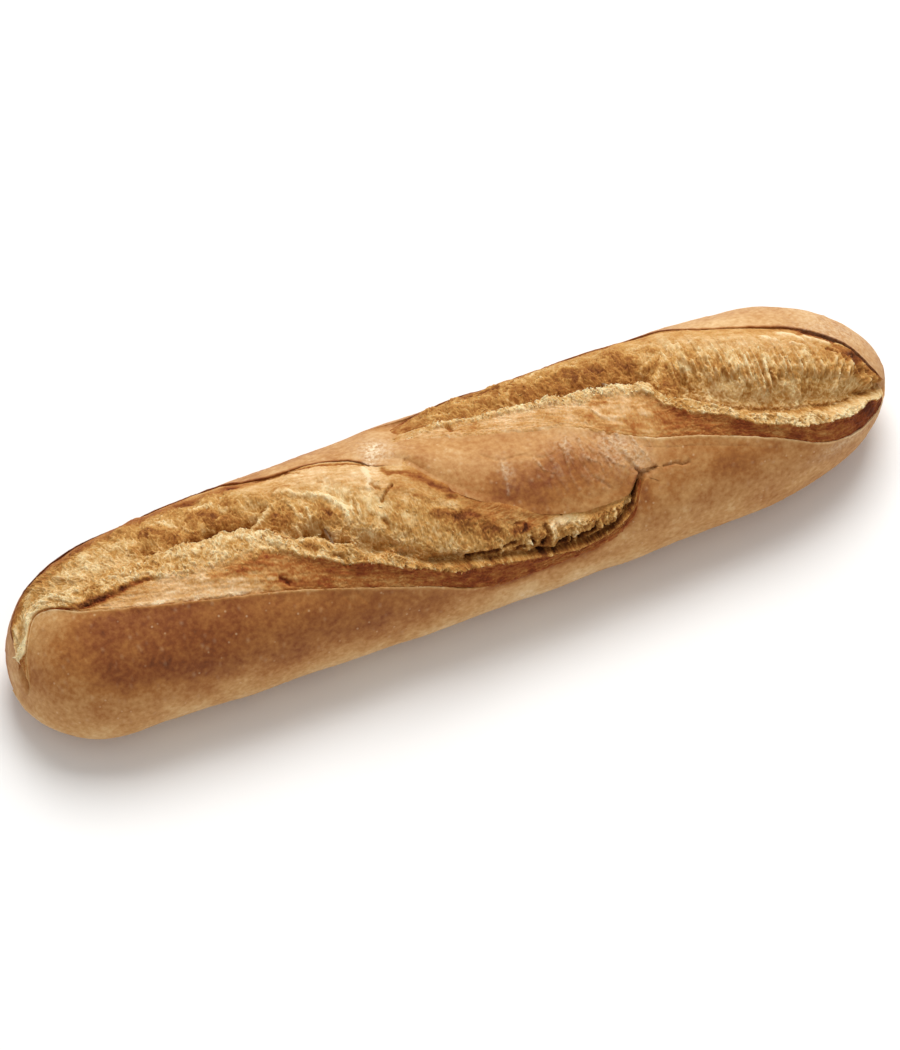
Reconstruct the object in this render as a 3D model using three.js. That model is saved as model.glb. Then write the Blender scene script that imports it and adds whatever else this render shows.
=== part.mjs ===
// A half-length baguette: one baked loaf with two long slashes that overlap on its top.
// Millimetres, +Z up. +X runs along the loaf, -Y is its near side, and the underside lies on z = 0.
// Places round the loaf are angles in degrees from the top, positive towards the near side.
import * as THREE from "three";

// Driving dimensions of the loaf
const LENGTH = 270;
const HALF_WIDTH = 31.25;
const CROWN_HEIGHT = 26.3; // from the widest line up to the top
const SPINE_HEIGHT = 20.5; // from the floor up to the widest line
const BELLY_DEPTH = 21.2; // from the widest line down to the uncut belly, pressed flat on the floor
const CROWN_FULLNESS = 2.1; // exponent of the upper half of the section: 2 is an ellipse
const BELLY_FULLNESS = 2.6;
const SWELL = 0.09; // how much narrower the section gets towards the ends, before they round off
const SWELL_CENTRE = 5;
const ENDS = {
  left: { length: 81, taper: 5.0, bluntness: 2.2, tipHeight: 10.3 },
  right: { length: 67, taper: 3.24, bluntness: 1.72, tipHeight: 16.0 },
};

// The slashes. Each list holds [place along the loaf, value] pairs, with a smooth curve through them.
// nearLip and farLip are the edges of the crust. ridge and valley are shares of the way from lip to lip:
// the torn edge that stands up, and the deepest line behind it. Heights are in mm over the uncut loaf. phase
// sets where the unevenness of a tear starts, and a lump of crumb may span the opening.
const FRONT_SLASH = {
  phase: 0.9,
  lump: { x: 0, reach: 1, rise: 0 },
  open: [-134.3, -132.6, 41, 51.5],
  nearLip: [
    [-134, 62], [-131, 5], [-125.5, -20], [-114, 4], [-94, 23], [-55, 42], [-20, 65], [3, 80], [30, 78],
    [44, 69], [51.5, 50], [60, 60], [85, 74], [119, 110],
  ],
  farLip: [
    [-134, 5], [-131, -50], [-122, -46], [-94, -54], [-64, -56], [-46, -45], [-30, -35], [-11, -10],
    [5, 23], [22, 45], [34, 56], [44, 56], [51.5, 43], [60, 42], [85, 58], [119, 94],
  ],
  ridge: [
    [-124, 0.06], [-114, 0.13], [-103, 0.42], [-70, 0.46], [-55, 0.4], [-36, 0.3], [-18, 0.21], [8, 0.32],
    [40, 0.24],
  ],
  valley: [
    [-124, 0.3], [-114, 0.4], [-100, 0.62], [-60, 0.62], [-46, 0.44], [-20, 0.3], [8, 0.45], [24, 0.55],
    [44, 0.5],
  ],
  ridgeHeight: [[-124, 0.4], [-104, 1.2], [-60, 2.0], [-30, 2.2], [0, 1.8], [20, 0.9], [44, 0.3]],
  valleyDepth: [[-130, 1.2], [-108, 1.8], [-70, 3.0], [-45, 4.2], [-10, 5.2], [25, 5.0], [44, 3.2]],
  domeHeight: [[-130, 0.2], [-90, 0.7], [-40, 1.0], [0, 0.2], [25, -1.2], [48, -1.0]],
};
const BACK_SLASH = {
  phase: 2.7,
  lump: { x: 69, reach: 3.2, rise: 3.6 },
  open: [-6, 10, 126, 132.6],
  nearLip: [
    [-128, -62], [-94, -66], [-56, -68], [-30, -58], [-11, -42], [5, -22], [18, -11], [34, 1], [57, 28],
    [71, 36], [93, 54], [108, 72], [119, 80], [128, 84], [133, 88],
  ],
  farLip: [
    [-128, -84], [-56, -86], [-11, -72], [6, -66], [26, -57], [45, -58], [62, -66], [79, -50], [93, -35],
    [110, -22], [121, -13], [126, 1], [131, 40], [133, 60],
  ],
  ridge: [
    [0, 0.25], [12, 0.2], [30, 0.3], [45, 0.41], [60, 0.37], [68, 0.26], [85, 0.17], [108, 0.23], [124, 0.24],
  ],
  valley: [[0, 0.5], [12, 0.4], [30, 0.45], [45, 0.53], [60, 0.47], [72, 0.36], [90, 0.28], [124, 0.36]],
  ridgeHeight: [[0, 0.4], [20, 1.0], [60, 1.6], [90, 2.0], [124, 1.2]],
  valleyDepth: [[0, 1.6], [20, 2.6], [60, 4.2], [90, 5.0], [124, 2.6]],
  domeHeight: [[0, 0.2], [40, 0.4], [66, 0.8], [90, 1.8], [118, 1.0], [130, 0.2]],
};
const SLASH_CURVES = ["nearLip", "farLip", "ridge", "valley", "ridgeHeight", "valleyDepth", "domeHeight"];
const LIP_RISE = 0.7; // the thin raised edge of the near crust
const FAR_LIP_RISE = 0.5;
const FAR_GROOVE = 1.3; // depth of the line under the far crust's edge
const LIP_TUCK = 0.012; // how far each lip hangs over its groove, as a share of the opening
const SHOULDER = 4; // degrees of crust beside each lip that bend up to it

// Softer forms of the crust and of the tears
const HEEL = { x: -117, degrees: 108, reach: 14, rise: 2.4 }; // the loaf is fuller low on the near left
const STRAP = { rise: 1.3, from: -30, to: 60 }; // the bridge of crust between the two openings bulges
const TEAR = { amount: 0.55, wave: 9 }; // uneven height of the torn edges and walls
const LUMPS = { amount: 0.35, wave: 31 }; // slow unevenness of the whole crust

// Mesh
const COLUMNS = 110;
const TIP_SHARE = 0.35; // share of the half length where the columns close up towards a tip
const NEAR_ROWS = 9;
const STRAP_ROWS = 5;
const FAR_ROWS = 8;

const DEGREE = Math.PI / 180;

const clamp = (value, low, high) => Math.min(high, Math.max(low, value));

function smoothStep(value, from, to) {
  const share = clamp((value - from) / (to - from), 0, 1);
  return share * share * (3 - 2 * share);
}

// A smooth curve through [x, y] pairs that never overshoots them, level past both ends.
function curveThrough(pairs) {
  const slopes = pairs.map(([x, y], i) => {
    if (i === 0 || i === pairs.length - 1) return 0;
    const before = (y - pairs[i - 1][1]) / (x - pairs[i - 1][0]);
    const after = (pairs[i + 1][1] - y) / (pairs[i + 1][0] - x);
    return before * after > 0 ? (2 * before * after) / (before + after) : 0;
  });
  return (x) => {
    if (x <= pairs[0][0]) return pairs[0][1];
    const next = pairs.findIndex(([place]) => place > x);
    if (next < 0) return pairs[pairs.length - 1][1];
    const [x0, y0] = pairs[next - 1];
    const [x1, y1] = pairs[next];
    const span = x1 - x0;
    const t = (x - x0) / span;
    const bend0 = span * slopes[next - 1] * t * (1 - t) * (1 - t);
    const bend1 = span * slopes[next] * t * t * (t - 1);
    return y0 + (y1 - y0) * t * t * (3 - 2 * t) + bend0 + bend1;
  };
}

// Unevenness between about -1 and 1: four sine waves that cross each other, none a multiple of another.
function ripple(a, b, wave, phase) {
  const f = (2 * Math.PI) / wave;
  const first = Math.sin(f * (a + 0.31 * b) + phase);
  const second = Math.sin(f * (0.57 * a - 0.93 * b) + 2.1 * phase + 1.3);
  const third = Math.sin(f * (1.37 * a + 0.88 * b) + 0.7 * phase + 4.1);
  const fourth = Math.sin(f * (-0.74 * a + 1.71 * b) + 1.6 * phase + 2.2);
  return (first + second + 0.7 * third + 0.6 * fourth) / 2.4;
}

// How much of the full section there is at x: 0 at a tip, 1 where the end is over.
function endShare(x) {
  const end = x < 0 ? ENDS.left : ENDS.right;
  const inset = clamp((LENGTH / 2 - Math.abs(x)) / end.length, 0, 1);
  return Math.pow(1 - Math.pow(1 - inset, end.taper), 1 / end.bluntness);
}

// The loaf as it would be without slashes. The section is a superellipse, fuller below, and its tips drop.
function uncutPoint(x, degrees) {
  const share = endShare(x);
  const sine = Math.sin(degrees * DEGREE);
  const cosine = Math.cos(degrees * DEGREE);
  const reach = cosine >= 0 ? CROWN_HEIGHT : BELLY_DEPTH;
  const power = cosine >= 0 ? CROWN_FULLNESS : BELLY_FULLNESS;
  const across = Math.pow(Math.abs(sine) / HALF_WIDTH, power);
  const upright = Math.pow(Math.abs(cosine) / reach, power);
  const swell = 1 - SWELL + SWELL * Math.cos((Math.PI * (x - SWELL_CENTRE)) / LENGTH);
  const radius = Math.pow(across + upright, -1 / power) * swell * share;
  const tip = (x < 0 ? ENDS.left : ENDS.right).tipHeight;
  const spine = tip + (SPINE_HEIGHT - tip) * share;
  return new THREE.Vector3(x, -radius * sine, spine + radius * cosine);
}

// The outward direction of the uncut loaf.
function uncutNormal(x, degrees) {
  const limit = LENGTH / 2 - 0.02;
  const low = clamp(x - 0.4, -limit, limit);
  const high = clamp(x + 0.4, -limit, limit);
  const along = uncutPoint(high, degrees).sub(uncutPoint(low, degrees));
  const around = uncutPoint(x, degrees - 1).sub(uncutPoint(x, degrees + 1));
  return along.cross(around).normalize();
}

// A slash with its lists as curves, and how far it is open at x.
function makeSlash(spec) {
  const [shut, full, closing, end] = spec.open;
  const openShare = (x) => smoothStep(x, shut, full) * (1 - smoothStep(x, closing, end));
  const slash = { ...spec, openShare };
  for (const name of SLASH_CURVES) slash[name] = curveThrough(spec[name]);
  return slash;
}

// The rows of one opening at x, from the near crust to the far crust, as [share of the way from lip to lip,
// height over the uncut loaf]: raised lip, baked band up to the torn ridge, valley, domed wall, groove, lip.
function openingRows(slash, x) {
  const open = slash.openShare(x);
  const ridge = slash.ridge(x);
  const valley = slash.valley(x);
  const wall = 1 - valley;
  const ridgeHeight = slash.ridgeHeight(x) * (1 + TEAR.amount * ripple(x, 0, TEAR.wave, slash.phase));
  const lump = slash.lump.rise * Math.exp(-(((x - slash.lump.x) / slash.lump.reach) ** 2));
  const depth = Math.max(slash.valleyDepth(x) - lump, 0.6);
  const dome = slash.domeHeight(x);
  const shoulder = SHOULDER / (slash.nearLip(x) - slash.farLip(x));
  const rough = (share) => TEAR.amount * ripple(x, 60 * share, TEAR.wave, slash.phase + 1);
  const rows = [
    [-shoulder, 0.15],
    [0, LIP_RISE],
    [LIP_TUCK * -0.5, -0.35],
    [ridge * 0.45, ridgeHeight * 0.2 - 0.2],
    [ridge * 0.85, ridgeHeight * 0.75],
    [ridge, ridgeHeight],
    [ridge + 0.25 * (valley - ridge), ridgeHeight * 0.4 - depth * 0.3],
    [valley, -depth],
    [valley + 0.12 * wall, -0.7 * depth + rough(0.1)],
    [valley + 0.34 * wall, -0.2 * depth + 0.5 * dome + rough(0.3)],
    [valley + 0.6 * wall, dome + rough(0.6)],
    [valley + 0.84 * wall, 0.5 * dome - 0.2 + rough(0.8)],
    [1 + LIP_TUCK, -FAR_GROOVE],
    [1, FAR_LIP_RISE],
    [1 + shoulder, 0.2],
  ];
  return rows.map(([share, height]) => [share, height * open]);
}

// Height of the whole crust over the uncut loaf, apart from the openings: slow unevenness, the full heel
// and the strap's bulge.
function crustRelief(x, degrees, strapShare) {
  const upper = 1 - smoothStep(Math.abs(degrees), 95, 135);
  const lumps = LUMPS.amount * ripple(x, degrees * 0.5, LUMPS.wave, 0.4) * endShare(x) * upper;
  const along = smoothStep(x, STRAP.from, STRAP.from + 30) * (1 - smoothStep(x, STRAP.to - 25, STRAP.to));
  const strap = STRAP.rise * along * Math.sin(Math.PI * strapShare);
  const heelAway = Math.hypot(x - HEEL.x, (degrees - HEEL.degrees) * DEGREE * HALF_WIDTH) / HEEL.reach;
  return lumps + strap + HEEL.rise * Math.exp(-heelAway * heelAway);
}

// Every row round the loaf at x as [angle, height], from the middle of the underside up the near side, over
// the top and down the far side.
function rowsAt(x, front, back) {
  const opening = (slash) => {
    const near = slash.nearLip(x);
    const span = slash.farLip(x) - near;
    return openingRows(slash, x).map(([share, height]) => {
      const degrees = near + span * share;
      return [degrees, height + crustRelief(x, degrees, 0)];
    });
  };
  const plain = (from, to, count, isStrap) =>
    Array.from({ length: count }, (_, i) => {
      const share = (i + 1) / (count + 1);
      const degrees = from + (to - from) * share;
      return [degrees, crustRelief(x, degrees, isStrap ? share : 0)];
    });
  const near = opening(front);
  const far = opening(back);
  return [
    [180, 0],
    ...plain(180, near[0][0], NEAR_ROWS, false),
    ...near,
    ...plain(near[near.length - 1][0], far[0][0], STRAP_ROWS, true),
    ...far,
    ...plain(far[far.length - 1][0], -180, FAR_ROWS, false),
  ];
}

// Columns along the loaf, closer together towards the tips, where the surface turns quickly.
function columnPlace(index) {
  const t = (2 * index) / COLUMNS - 1;
  const scale = 1 / (2 * TIP_SHARE - TIP_SHARE * TIP_SHARE);
  const inset = 1 - Math.abs(t);
  const tipInset = Math.min(inset, TIP_SHARE);
  const distance = scale * (tipInset * tipInset + 2 * TIP_SHARE * (inset - tipInset));
  return Math.sign(t) * (LENGTH / 2) * (1 - distance);
}

function loafGeometry() {
  const front = makeSlash(FRONT_SLASH);
  const back = makeSlash(BACK_SLASH);
  const positions = [];
  let rowCount = 0;
  for (let column = 1; column < COLUMNS; column++) {
    const x = columnPlace(column);
    const rows = rowsAt(x, front, back);
    rowCount = rows.length;
    for (const [degrees, height] of rows) {
      const point = uncutPoint(x, degrees).addScaledVector(uncutNormal(x, degrees), height);
      positions.push(point.x, point.y, Math.max(point.z, 0));
    }
  }
  const rings = COLUMNS - 1;
  const leftTip = rings * rowCount;
  positions.push(-LENGTH / 2, 0, ENDS.left.tipHeight, LENGTH / 2, 0, ENDS.right.tipHeight);
  const apart = (i, j) => Math.hypot(...[0, 1, 2].map((k) => positions[3 * i + k] - positions[3 * j + k]));
  const faces = [];
  for (let row = 0; row < rowCount; row++) {
    const next = (row + 1) % rowCount;
    for (let ring = 0; ring < rings - 1; ring++) {
      const [a, b] = [ring * rowCount + row, ring * rowCount + next];
      const [c, d] = [b + rowCount, a + rowCount];
      if (apart(a, c) < apart(b, d)) faces.push(a, d, c, a, c, b);
      else faces.push(a, d, b, b, d, c);
    }
    faces.push(leftTip, row, next);
    faces.push(leftTip + 1, (rings - 1) * rowCount + next, (rings - 1) * rowCount + row);
  }
  const geometry = new THREE.BufferGeometry();
  geometry.setAttribute("position", new THREE.Float32BufferAttribute(positions, 3));
  geometry.setIndex(faces);
  return geometry;
}

// Sets the middle of the loaf's underside at the origin.
function centreOnFloor(geometry) {
  geometry.computeBoundingBox();
  const { min, max } = geometry.boundingBox;
  geometry.translate(-(min.x + max.x) / 2, -(min.y + max.y) / 2, -min.z);
  geometry.computeVertexNormals();
  return geometry;
}

const crust = new THREE.MeshStandardMaterial({ color: 0xb47d48, roughness: 0.7, metalness: 0 });
const loaf = new THREE.Mesh(centreOnFloor(loafGeometry()), crust);
loaf.name = "baguette";

const baguette = new THREE.Group();
baguette.add(loaf);

export default baguette;
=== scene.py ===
"""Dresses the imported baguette: a browned crust, and two slashes torn open to rough crumb.

Sizes are in millimetres until a mesh is made. Places round the loaf are degrees from the top, positive
towards the near side (-Y). A share is the way across a slash, from its near lip (0) to its far lip (1).
"""
import itertools
import logging
import math
from collections.abc import Callable
from dataclasses import dataclass, field
from enum import Enum
from functools import partial

import bpy
import numpy as np
from mathutils import Matrix, Vector


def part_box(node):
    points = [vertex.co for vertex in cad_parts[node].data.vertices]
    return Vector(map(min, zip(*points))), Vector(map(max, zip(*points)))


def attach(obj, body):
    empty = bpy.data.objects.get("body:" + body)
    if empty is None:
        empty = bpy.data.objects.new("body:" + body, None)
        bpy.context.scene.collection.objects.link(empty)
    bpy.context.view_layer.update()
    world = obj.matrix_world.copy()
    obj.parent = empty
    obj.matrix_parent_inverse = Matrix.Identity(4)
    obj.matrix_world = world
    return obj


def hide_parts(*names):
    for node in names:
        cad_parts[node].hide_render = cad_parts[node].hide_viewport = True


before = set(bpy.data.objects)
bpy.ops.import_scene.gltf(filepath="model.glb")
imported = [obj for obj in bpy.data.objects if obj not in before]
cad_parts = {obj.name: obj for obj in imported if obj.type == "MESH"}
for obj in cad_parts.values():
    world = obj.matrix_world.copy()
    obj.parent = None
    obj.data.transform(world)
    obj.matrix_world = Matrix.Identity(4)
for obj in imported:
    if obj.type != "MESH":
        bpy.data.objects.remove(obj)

Array = np.ndarray
Pair = tuple[float, float]
Triple = tuple[float, float, float]
Pairs = list[Pair]
Stops = tuple[tuple[float, str], ...]
Mesh = tuple[Array, Array, Array]  # vertices, triangles, and a value for each vertex
Rows = list[tuple[Array, Array, Array, Array]]  # degrees, heights, lip shares and sunk shares

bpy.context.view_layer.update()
NODE = "baguette"
BODY = "root"
MM = 0.001
DEGREE = math.pi / 180
ROUGH_RADIUS = 27  # of the loaf seen along it, in mm
MM_PER_DEGREE = 0.5  # round the loaf, roughly
LAP = 0.005  # how far a piece's cut edge dips under its neighbour, in mm

log = logging.getLogger("baguette")


# --- Curves ---


def smooth_step(value: Array | float, start: float, end: float) -> Array:
    """Rises from 0 at start to 1 at end, level on both sides: t * t * (3 - 2 t).

    Args:
        value: where it is read.
        start: where the rise starts.
        end: where it is over.

    Returns:
        The height of the step at each value.
    """
    share = np.clip((value - start) / (end - start), 0, 1)
    return share * share * (3 - 2 * share)


def level_slopes(steps: Array) -> Array:
    """Slopes of a smooth curve that never overshoots its points.

    Each is the harmonic mean of the steps before and after a point, or 0 where they differ in sign.

    Args:
        steps: rise over run between neighbouring points, along the first axis.

    Returns:
        One slope for each point, with 0 at both ends.
    """
    before, after = steps[:-1], steps[1:]
    product = before * after
    total = np.where(product > 0, before + after, 1)
    inner = np.where(product > 0, 2 * product / total, 0)
    return np.concatenate([np.zeros_like(steps[:1]), inner, np.zeros_like(steps[:1])])


def hermite(t: Array, span: Array | float, ends: tuple[Array, Array], slopes: tuple[Array, Array]) -> Array:
    """The cubic between two points whose slopes are known.

    Args:
        t: way from the first point to the second, 0 to 1.
        span: distance between them along the axis.
        ends: values at both points.
        slopes: slopes at both points.

    Returns:
        The curve's values.
    """
    rise = (ends[1] - ends[0]) * t * t * (3 - 2 * t)
    return ends[0] + rise + span * t * (1 - t) * (slopes[0] * (1 - t) - slopes[1] * t)


class SmoothCurve:
    """A smooth curve through [place, value] pairs that never overshoots them, level past both ends."""

    def __init__(self, pairs: Pairs) -> None:
        """Keeps the points and works out their slopes."""
        self.places, self.values = np.array(pairs, float).T
        self.slopes = level_slopes(np.diff(self.values) / np.diff(self.places))

    def __call__(self, place: Array) -> Array:
        """Reads the curve.

        Args:
            place: where.

        Returns:
            The curve's value at each place.
        """
        place = np.clip(place, self.places[0], self.places[-1])
        index = np.clip(np.searchsorted(self.places, place, "right") - 1, 0, len(self.places) - 2)
        span = self.places[index + 1] - self.places[index]
        ends = self.values[index], self.values[index + 1]
        slopes = self.slopes[index], self.slopes[index + 1]
        return hermite((place - self.places[index]) / span, span, ends, slopes)


def through_knots(knots: Array, places: Array) -> Array:
    """Smooth rows between knot rows that lie one apart.

    Args:
        knots: one row of values for each knot, as (knots, columns).
        places: where rows are wanted, counted in knots.

    Returns:
        An array of (columns, places).
    """
    slopes = level_slopes(np.diff(knots, axis=0))
    index = np.clip(places.astype(int), 0, len(knots) - 2)
    t = (places - index)[:, None]
    return hermite(t, 1.0, (knots[index], knots[index + 1]), (slopes[index], slopes[index + 1])).T


# --- Unevenness ---

PRIMES = np.array([374761393, 668265263, 2147483647], np.uint32)
STIRS = np.array([2246822519, 3266489917], np.uint32)


def random_values(cells: Array, seed: int) -> Array:
    """A repeatable random number from 0 to 1 for each cell of a lattice.

    Every coordinate is multiplied by its own large prime and folded into one 32-bit number, which is
    stirred by shifts and products.

    Args:
        cells: whole coordinates, along the last axis.
        seed: picks one of many such sets of numbers.

    Returns:
        One number for each cell.
    """
    bits = np.full(cells.shape[:-1], (seed * 2654435761 + 97) & 0xFFFFFFFF, np.uint32)
    for axis in range(cells.shape[-1]):
        bits ^= cells[..., axis].astype(np.int64).astype(np.uint32) * PRIMES[axis]
        bits = (bits ^ (bits >> np.uint32(15))) * STIRS[0]
        bits = (bits ^ (bits >> np.uint32(13))) * STIRS[1]
    return (bits ^ (bits >> np.uint32(16))) / 2.0**32


def soft_noise(points: Array, seed: int) -> Array:
    """Smooth unevenness between about -1 and 1, with bumps about one unit wide.

    Every corner of the lattice cell round a point holds a random slope. Their planes are blended by
    t^3 (6 t^2 - 15 t + 10) along each axis.

    Args:
        points: coordinates along the last axis, in bump widths.
        seed: picks the set of bumps.

    Returns:
        One value for each point.
    """
    cell = np.floor(points)
    offset = points - cell
    fade = offset**3 * (offset * (offset * 6 - 15) + 10)
    axes = range(points.shape[-1])
    total = np.zeros(points.shape[:-1])
    for corner in itertools.product((0, 1), repeat=len(axes)):
        weight = np.where(np.array(corner), fade, 1 - fade).prod(-1)
        slope = np.stack([random_values(cell + corner, seed * 8 + axis) for axis in axes], -1) * 2 - 1
        total += weight * ((offset - corner) * slope).sum(-1)
    return total * 1.7


def layered_noise(points: Array, seed: int, layers: int = 3) -> Array:
    """Soft noise with finer layers on it, each half as wide and half as strong as the last."""
    return sum(soft_noise(points * 2.0**k, seed + k) * 0.5**k for k in range(layers))


def crests(noise: Array) -> Array:
    """Turns noise into sharp crests with round hollows between them: 1 - 2 |noise|."""
    return 1 - 2 * np.abs(noise)


def nearest_grain(points: Array, seed: int) -> tuple[Array, Array]:
    """Looks for the nearest of grains scattered one to a lattice cell.

    Args:
        points: coordinates along the last axis, in cell widths.
        seed: picks the set of grains.

    Returns:
        The distance to the nearest grain, and that grain's own random number.
    """
    cell = np.floor(points)
    axes = range(points.shape[-1])
    nearest = np.full(points.shape[:-1], 9.0)
    value = np.zeros(points.shape[:-1])
    for step in itertools.product((-1, 0, 1), repeat=len(axes)):
        here = cell + step
        grain = here + np.stack([random_values(here, seed * 8 + axis) for axis in axes], -1)
        distance = np.sqrt(((points - grain) ** 2).sum(-1))
        closer = distance < nearest
        nearest = np.where(closer, distance, nearest)
        value = np.where(closer, random_values(here, seed * 8 + 7), value)
    return nearest, value


@dataclass(frozen=True)
class Grain:
    """One kind of uneven form: its size in mm, or its sizes along and across, and how far it rises."""

    size: float | Pair
    rise: float
    seed: int
    layers: int = 3

    def noise(self, points: Array, seed: int = 0) -> Array:
        """Layered noise of this size, at places in mm."""
        return layered_noise(points / self.size, seed + self.seed, self.layers)

    def clumps(self, points: Array, seed: int = 0) -> tuple[Array, Array]:
        """Round knobs from 0 to 1: (1 - (distance / 0.85)^2)^0.8 from scattered middles.

        Args:
            points: places in mm.
            seed: picks the set of knobs, on top of the grain's own.

        Returns:
            How far each place stands out, and a random number of its knob.
        """
        distance, kind = nearest_grain(points / self.size, seed + self.seed)
        return np.clip(1 - (distance / 0.85) ** 2, 0, 1) ** 0.8 * (0.3 + 0.7 * kind), kind


def ripple(a: Array | float, b: Array | float, wave: float, phase: float) -> Array:
    """Slow unevenness between about -1 and 1: four sine waves that cross each other.

    Args:
        a: place along one axis.
        b: place along the other, in the same unit.
        wave: length of the first wave.
        phase: shifts the pattern.

    Returns:
        One value for each place.
    """
    f = 2 * math.pi / wave
    first = np.sin(f * (a + 0.31 * b) + phase)
    second = np.sin(f * (0.57 * a - 0.93 * b) + 2.1 * phase + 1.3)
    third = np.sin(f * (1.37 * a + 0.88 * b) + 0.7 * phase + 4.1)
    fourth = np.sin(f * (-0.74 * a + 1.71 * b) + 1.6 * phase + 2.2)
    return (first + second + 0.7 * third + 0.6 * fourth) / 2.4


# --- The loaf's form ---


@dataclass(frozen=True)
class LoafEnd:
    """How one end rounds off. Length and height in mm; taper and bluntness are exponents."""

    length: float
    taper: float
    bluntness: float
    tip_height: float


@dataclass(frozen=True)
class UncutLoaf:
    """The loaf as it would be without slashes: superellipse sections on a spine that drops at the tips."""

    length: float
    half_width: float = 31.25
    crown_height: float = 26.3
    spine_height: float = 20.5
    belly_depth: float = 21.2
    crown_fullness: float = 2.1
    belly_fullness: float = 2.6
    swell: float = 0.09
    swell_centre: float = 5.0
    left: LoafEnd = LoafEnd(81.0, 5.0, 2.2, 10.3)
    right: LoafEnd = LoafEnd(67.0, 3.24, 1.72, 16.0)

    def end_share(self, x: Array) -> Array:
        """How much of the full section there is: (1 - (1 - inset)^taper)^(1 / bluntness).

        Args:
            x: place along the loaf.

        Returns:
            A share from 0 at the tips to 1.
        """

        def share(end: LoafEnd) -> Array:
            """The same for one end's curve."""
            inset = np.clip((self.length / 2 - np.abs(x)) / end.length, 0, 1)
            return (1 - (1 - inset) ** end.taper) ** (1 / end.bluntness)

        return np.where(x < 0, share(self.left), share(self.right))

    def point(self, x: Array, degrees: Array) -> Array:
        """A point of the uncut surface.

        The radius is (|sin / half width|^n + |cos / reach|^n)^(-1/n), less the swell towards the ends,
        times the end's share.

        Args:
            x: place along the loaf.
            degrees: place round the loaf.

        Returns:
            Points along a new last axis.
        """
        x, degrees = np.broadcast_arrays(x, degrees)
        share = self.end_share(x)
        sine, cosine = np.sin(degrees * DEGREE), np.cos(degrees * DEGREE)
        reach = np.where(cosine >= 0, self.crown_height, self.belly_depth)
        power = np.where(cosine >= 0, self.crown_fullness, self.belly_fullness)
        section = (np.abs(sine) / self.half_width) ** power + (np.abs(cosine) / reach) ** power
        swell = 1 - self.swell + self.swell * np.cos(math.pi * (x - self.swell_centre) / self.length)
        radius = section ** (-1 / power) * swell * share
        tip = np.where(x < 0, self.left.tip_height, self.right.tip_height)
        spine = tip + (self.spine_height - tip) * share
        return np.stack([x, -radius * sine, spine + radius * cosine], -1)

    def normal(self, x: Array, degrees: Array) -> Array:
        """The outward direction of the uncut surface, from its slopes along and round the loaf.

        Args:
            x: place along the loaf.
            degrees: place round the loaf.

        Returns:
            Directions of length 1.
        """
        limit = self.length / 2 - 0.02
        low, high = np.clip(x - 0.4, -limit, limit), np.clip(x + 0.4, -limit, limit)
        along = self.point(high, degrees) - self.point(low, degrees)
        around = self.point(x, degrees - 1) - self.point(x, degrees + 1)
        outward = np.cross(along, around)
        return outward / np.linalg.norm(outward, axis=-1, keepdims=True)

    def raised(self, x: Array, degrees: Array, height: Array) -> Array:
        """Points that stand a height over the uncut surface, and never below the floor.

        Args:
            x: place along the loaf.
            degrees: place round the loaf.
            height: how far they stand out.

        Returns:
            Points along a new last axis.
        """
        points = self.point(x, degrees) + self.normal(x, degrees) * height[..., None]
        points[..., 2] = np.maximum(points[..., 2], 0)
        return points

    def tips(self) -> Array:
        """The two end points, left and right."""
        return np.array([[-self.length / 2, 0, self.left.tip_height], [self.length / 2, 0, self.right.tip_height]])

    def columns(self, count: int, start: float, end: float, tip_share: float) -> Array:
        """Places along the loaf, closer together towards start and end.

        Within tip_share of the half length from an end, the distance to it grows with the square of the
        column's place.

        Args:
            count: number of steps.
            start: lowest x, which gets no column of its own.
            end: highest x, likewise.
            tip_share: share of the half length where the columns close up.

        Returns:
            The places, from low to high.
        """
        t = 2 * np.arange(1, count) / count - 1
        inset = 1 - np.abs(t)
        near_tip = np.minimum(inset, tip_share)
        scale = 1 / (2 * tip_share - tip_share**2)
        distance = scale * (near_tip**2 + 2 * tip_share * (inset - near_tip))
        return (start + end) / 2 + np.sign(t) * (end - start) / 2 * (1 - distance)


class TearZone(Enum):
    """The strips of a torn slash, from its near lip to its far lip."""

    LOW_BAND = "baked skin next to the near lip"
    HIGH_BAND = "baked skin below the torn crest"
    CREST = "torn crumb that stands up"
    LOW_WALL = "crumb just behind the valley"
    HIGH_WALL = "upper part of the domed wall"
    RIM = "skin under the far lip"


@dataclass(frozen=True)
class SlashSection:
    """A slash's measures at each column, as arrays."""

    near: Array
    far: Array
    open_share: Array
    crest: Array
    crest_back: Array
    valley: Array
    crest_height: Array
    step: Array
    softness: Array
    cleft: Array
    depth: Array
    dome: Array
    near_rise: Array
    far_rise: Array
    groove: Array
    near_merge: Array
    far_merge: Array
    width: Array  # lip to lip along the uncut surface, in mm
    radius: Array  # of the loaf, roughly, in mm

    def upright(self) -> "SlashSection":
        """The same measures as (columns, 1), to go with arrays of (columns, rows)."""
        return SlashSection(**{name: numbers[:, None] for name, numbers in vars(self).items()})


@dataclass(frozen=True)
class Patch:
    """A soft round patch on the loaf, by its middle, its reach along and round the loaf, and an amount."""

    x: float
    degrees: float
    along: float
    around: float
    amount: float

    def weight(self, x: Array, degrees: Array) -> Array:
        """amount * exp(-(distance / reach)^2), with its own reach along and round the loaf."""
        away = ((x - self.x) / self.along) ** 2 + ((degrees - self.degrees) / self.around) ** 2
        return self.amount * np.exp(-away)


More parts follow.
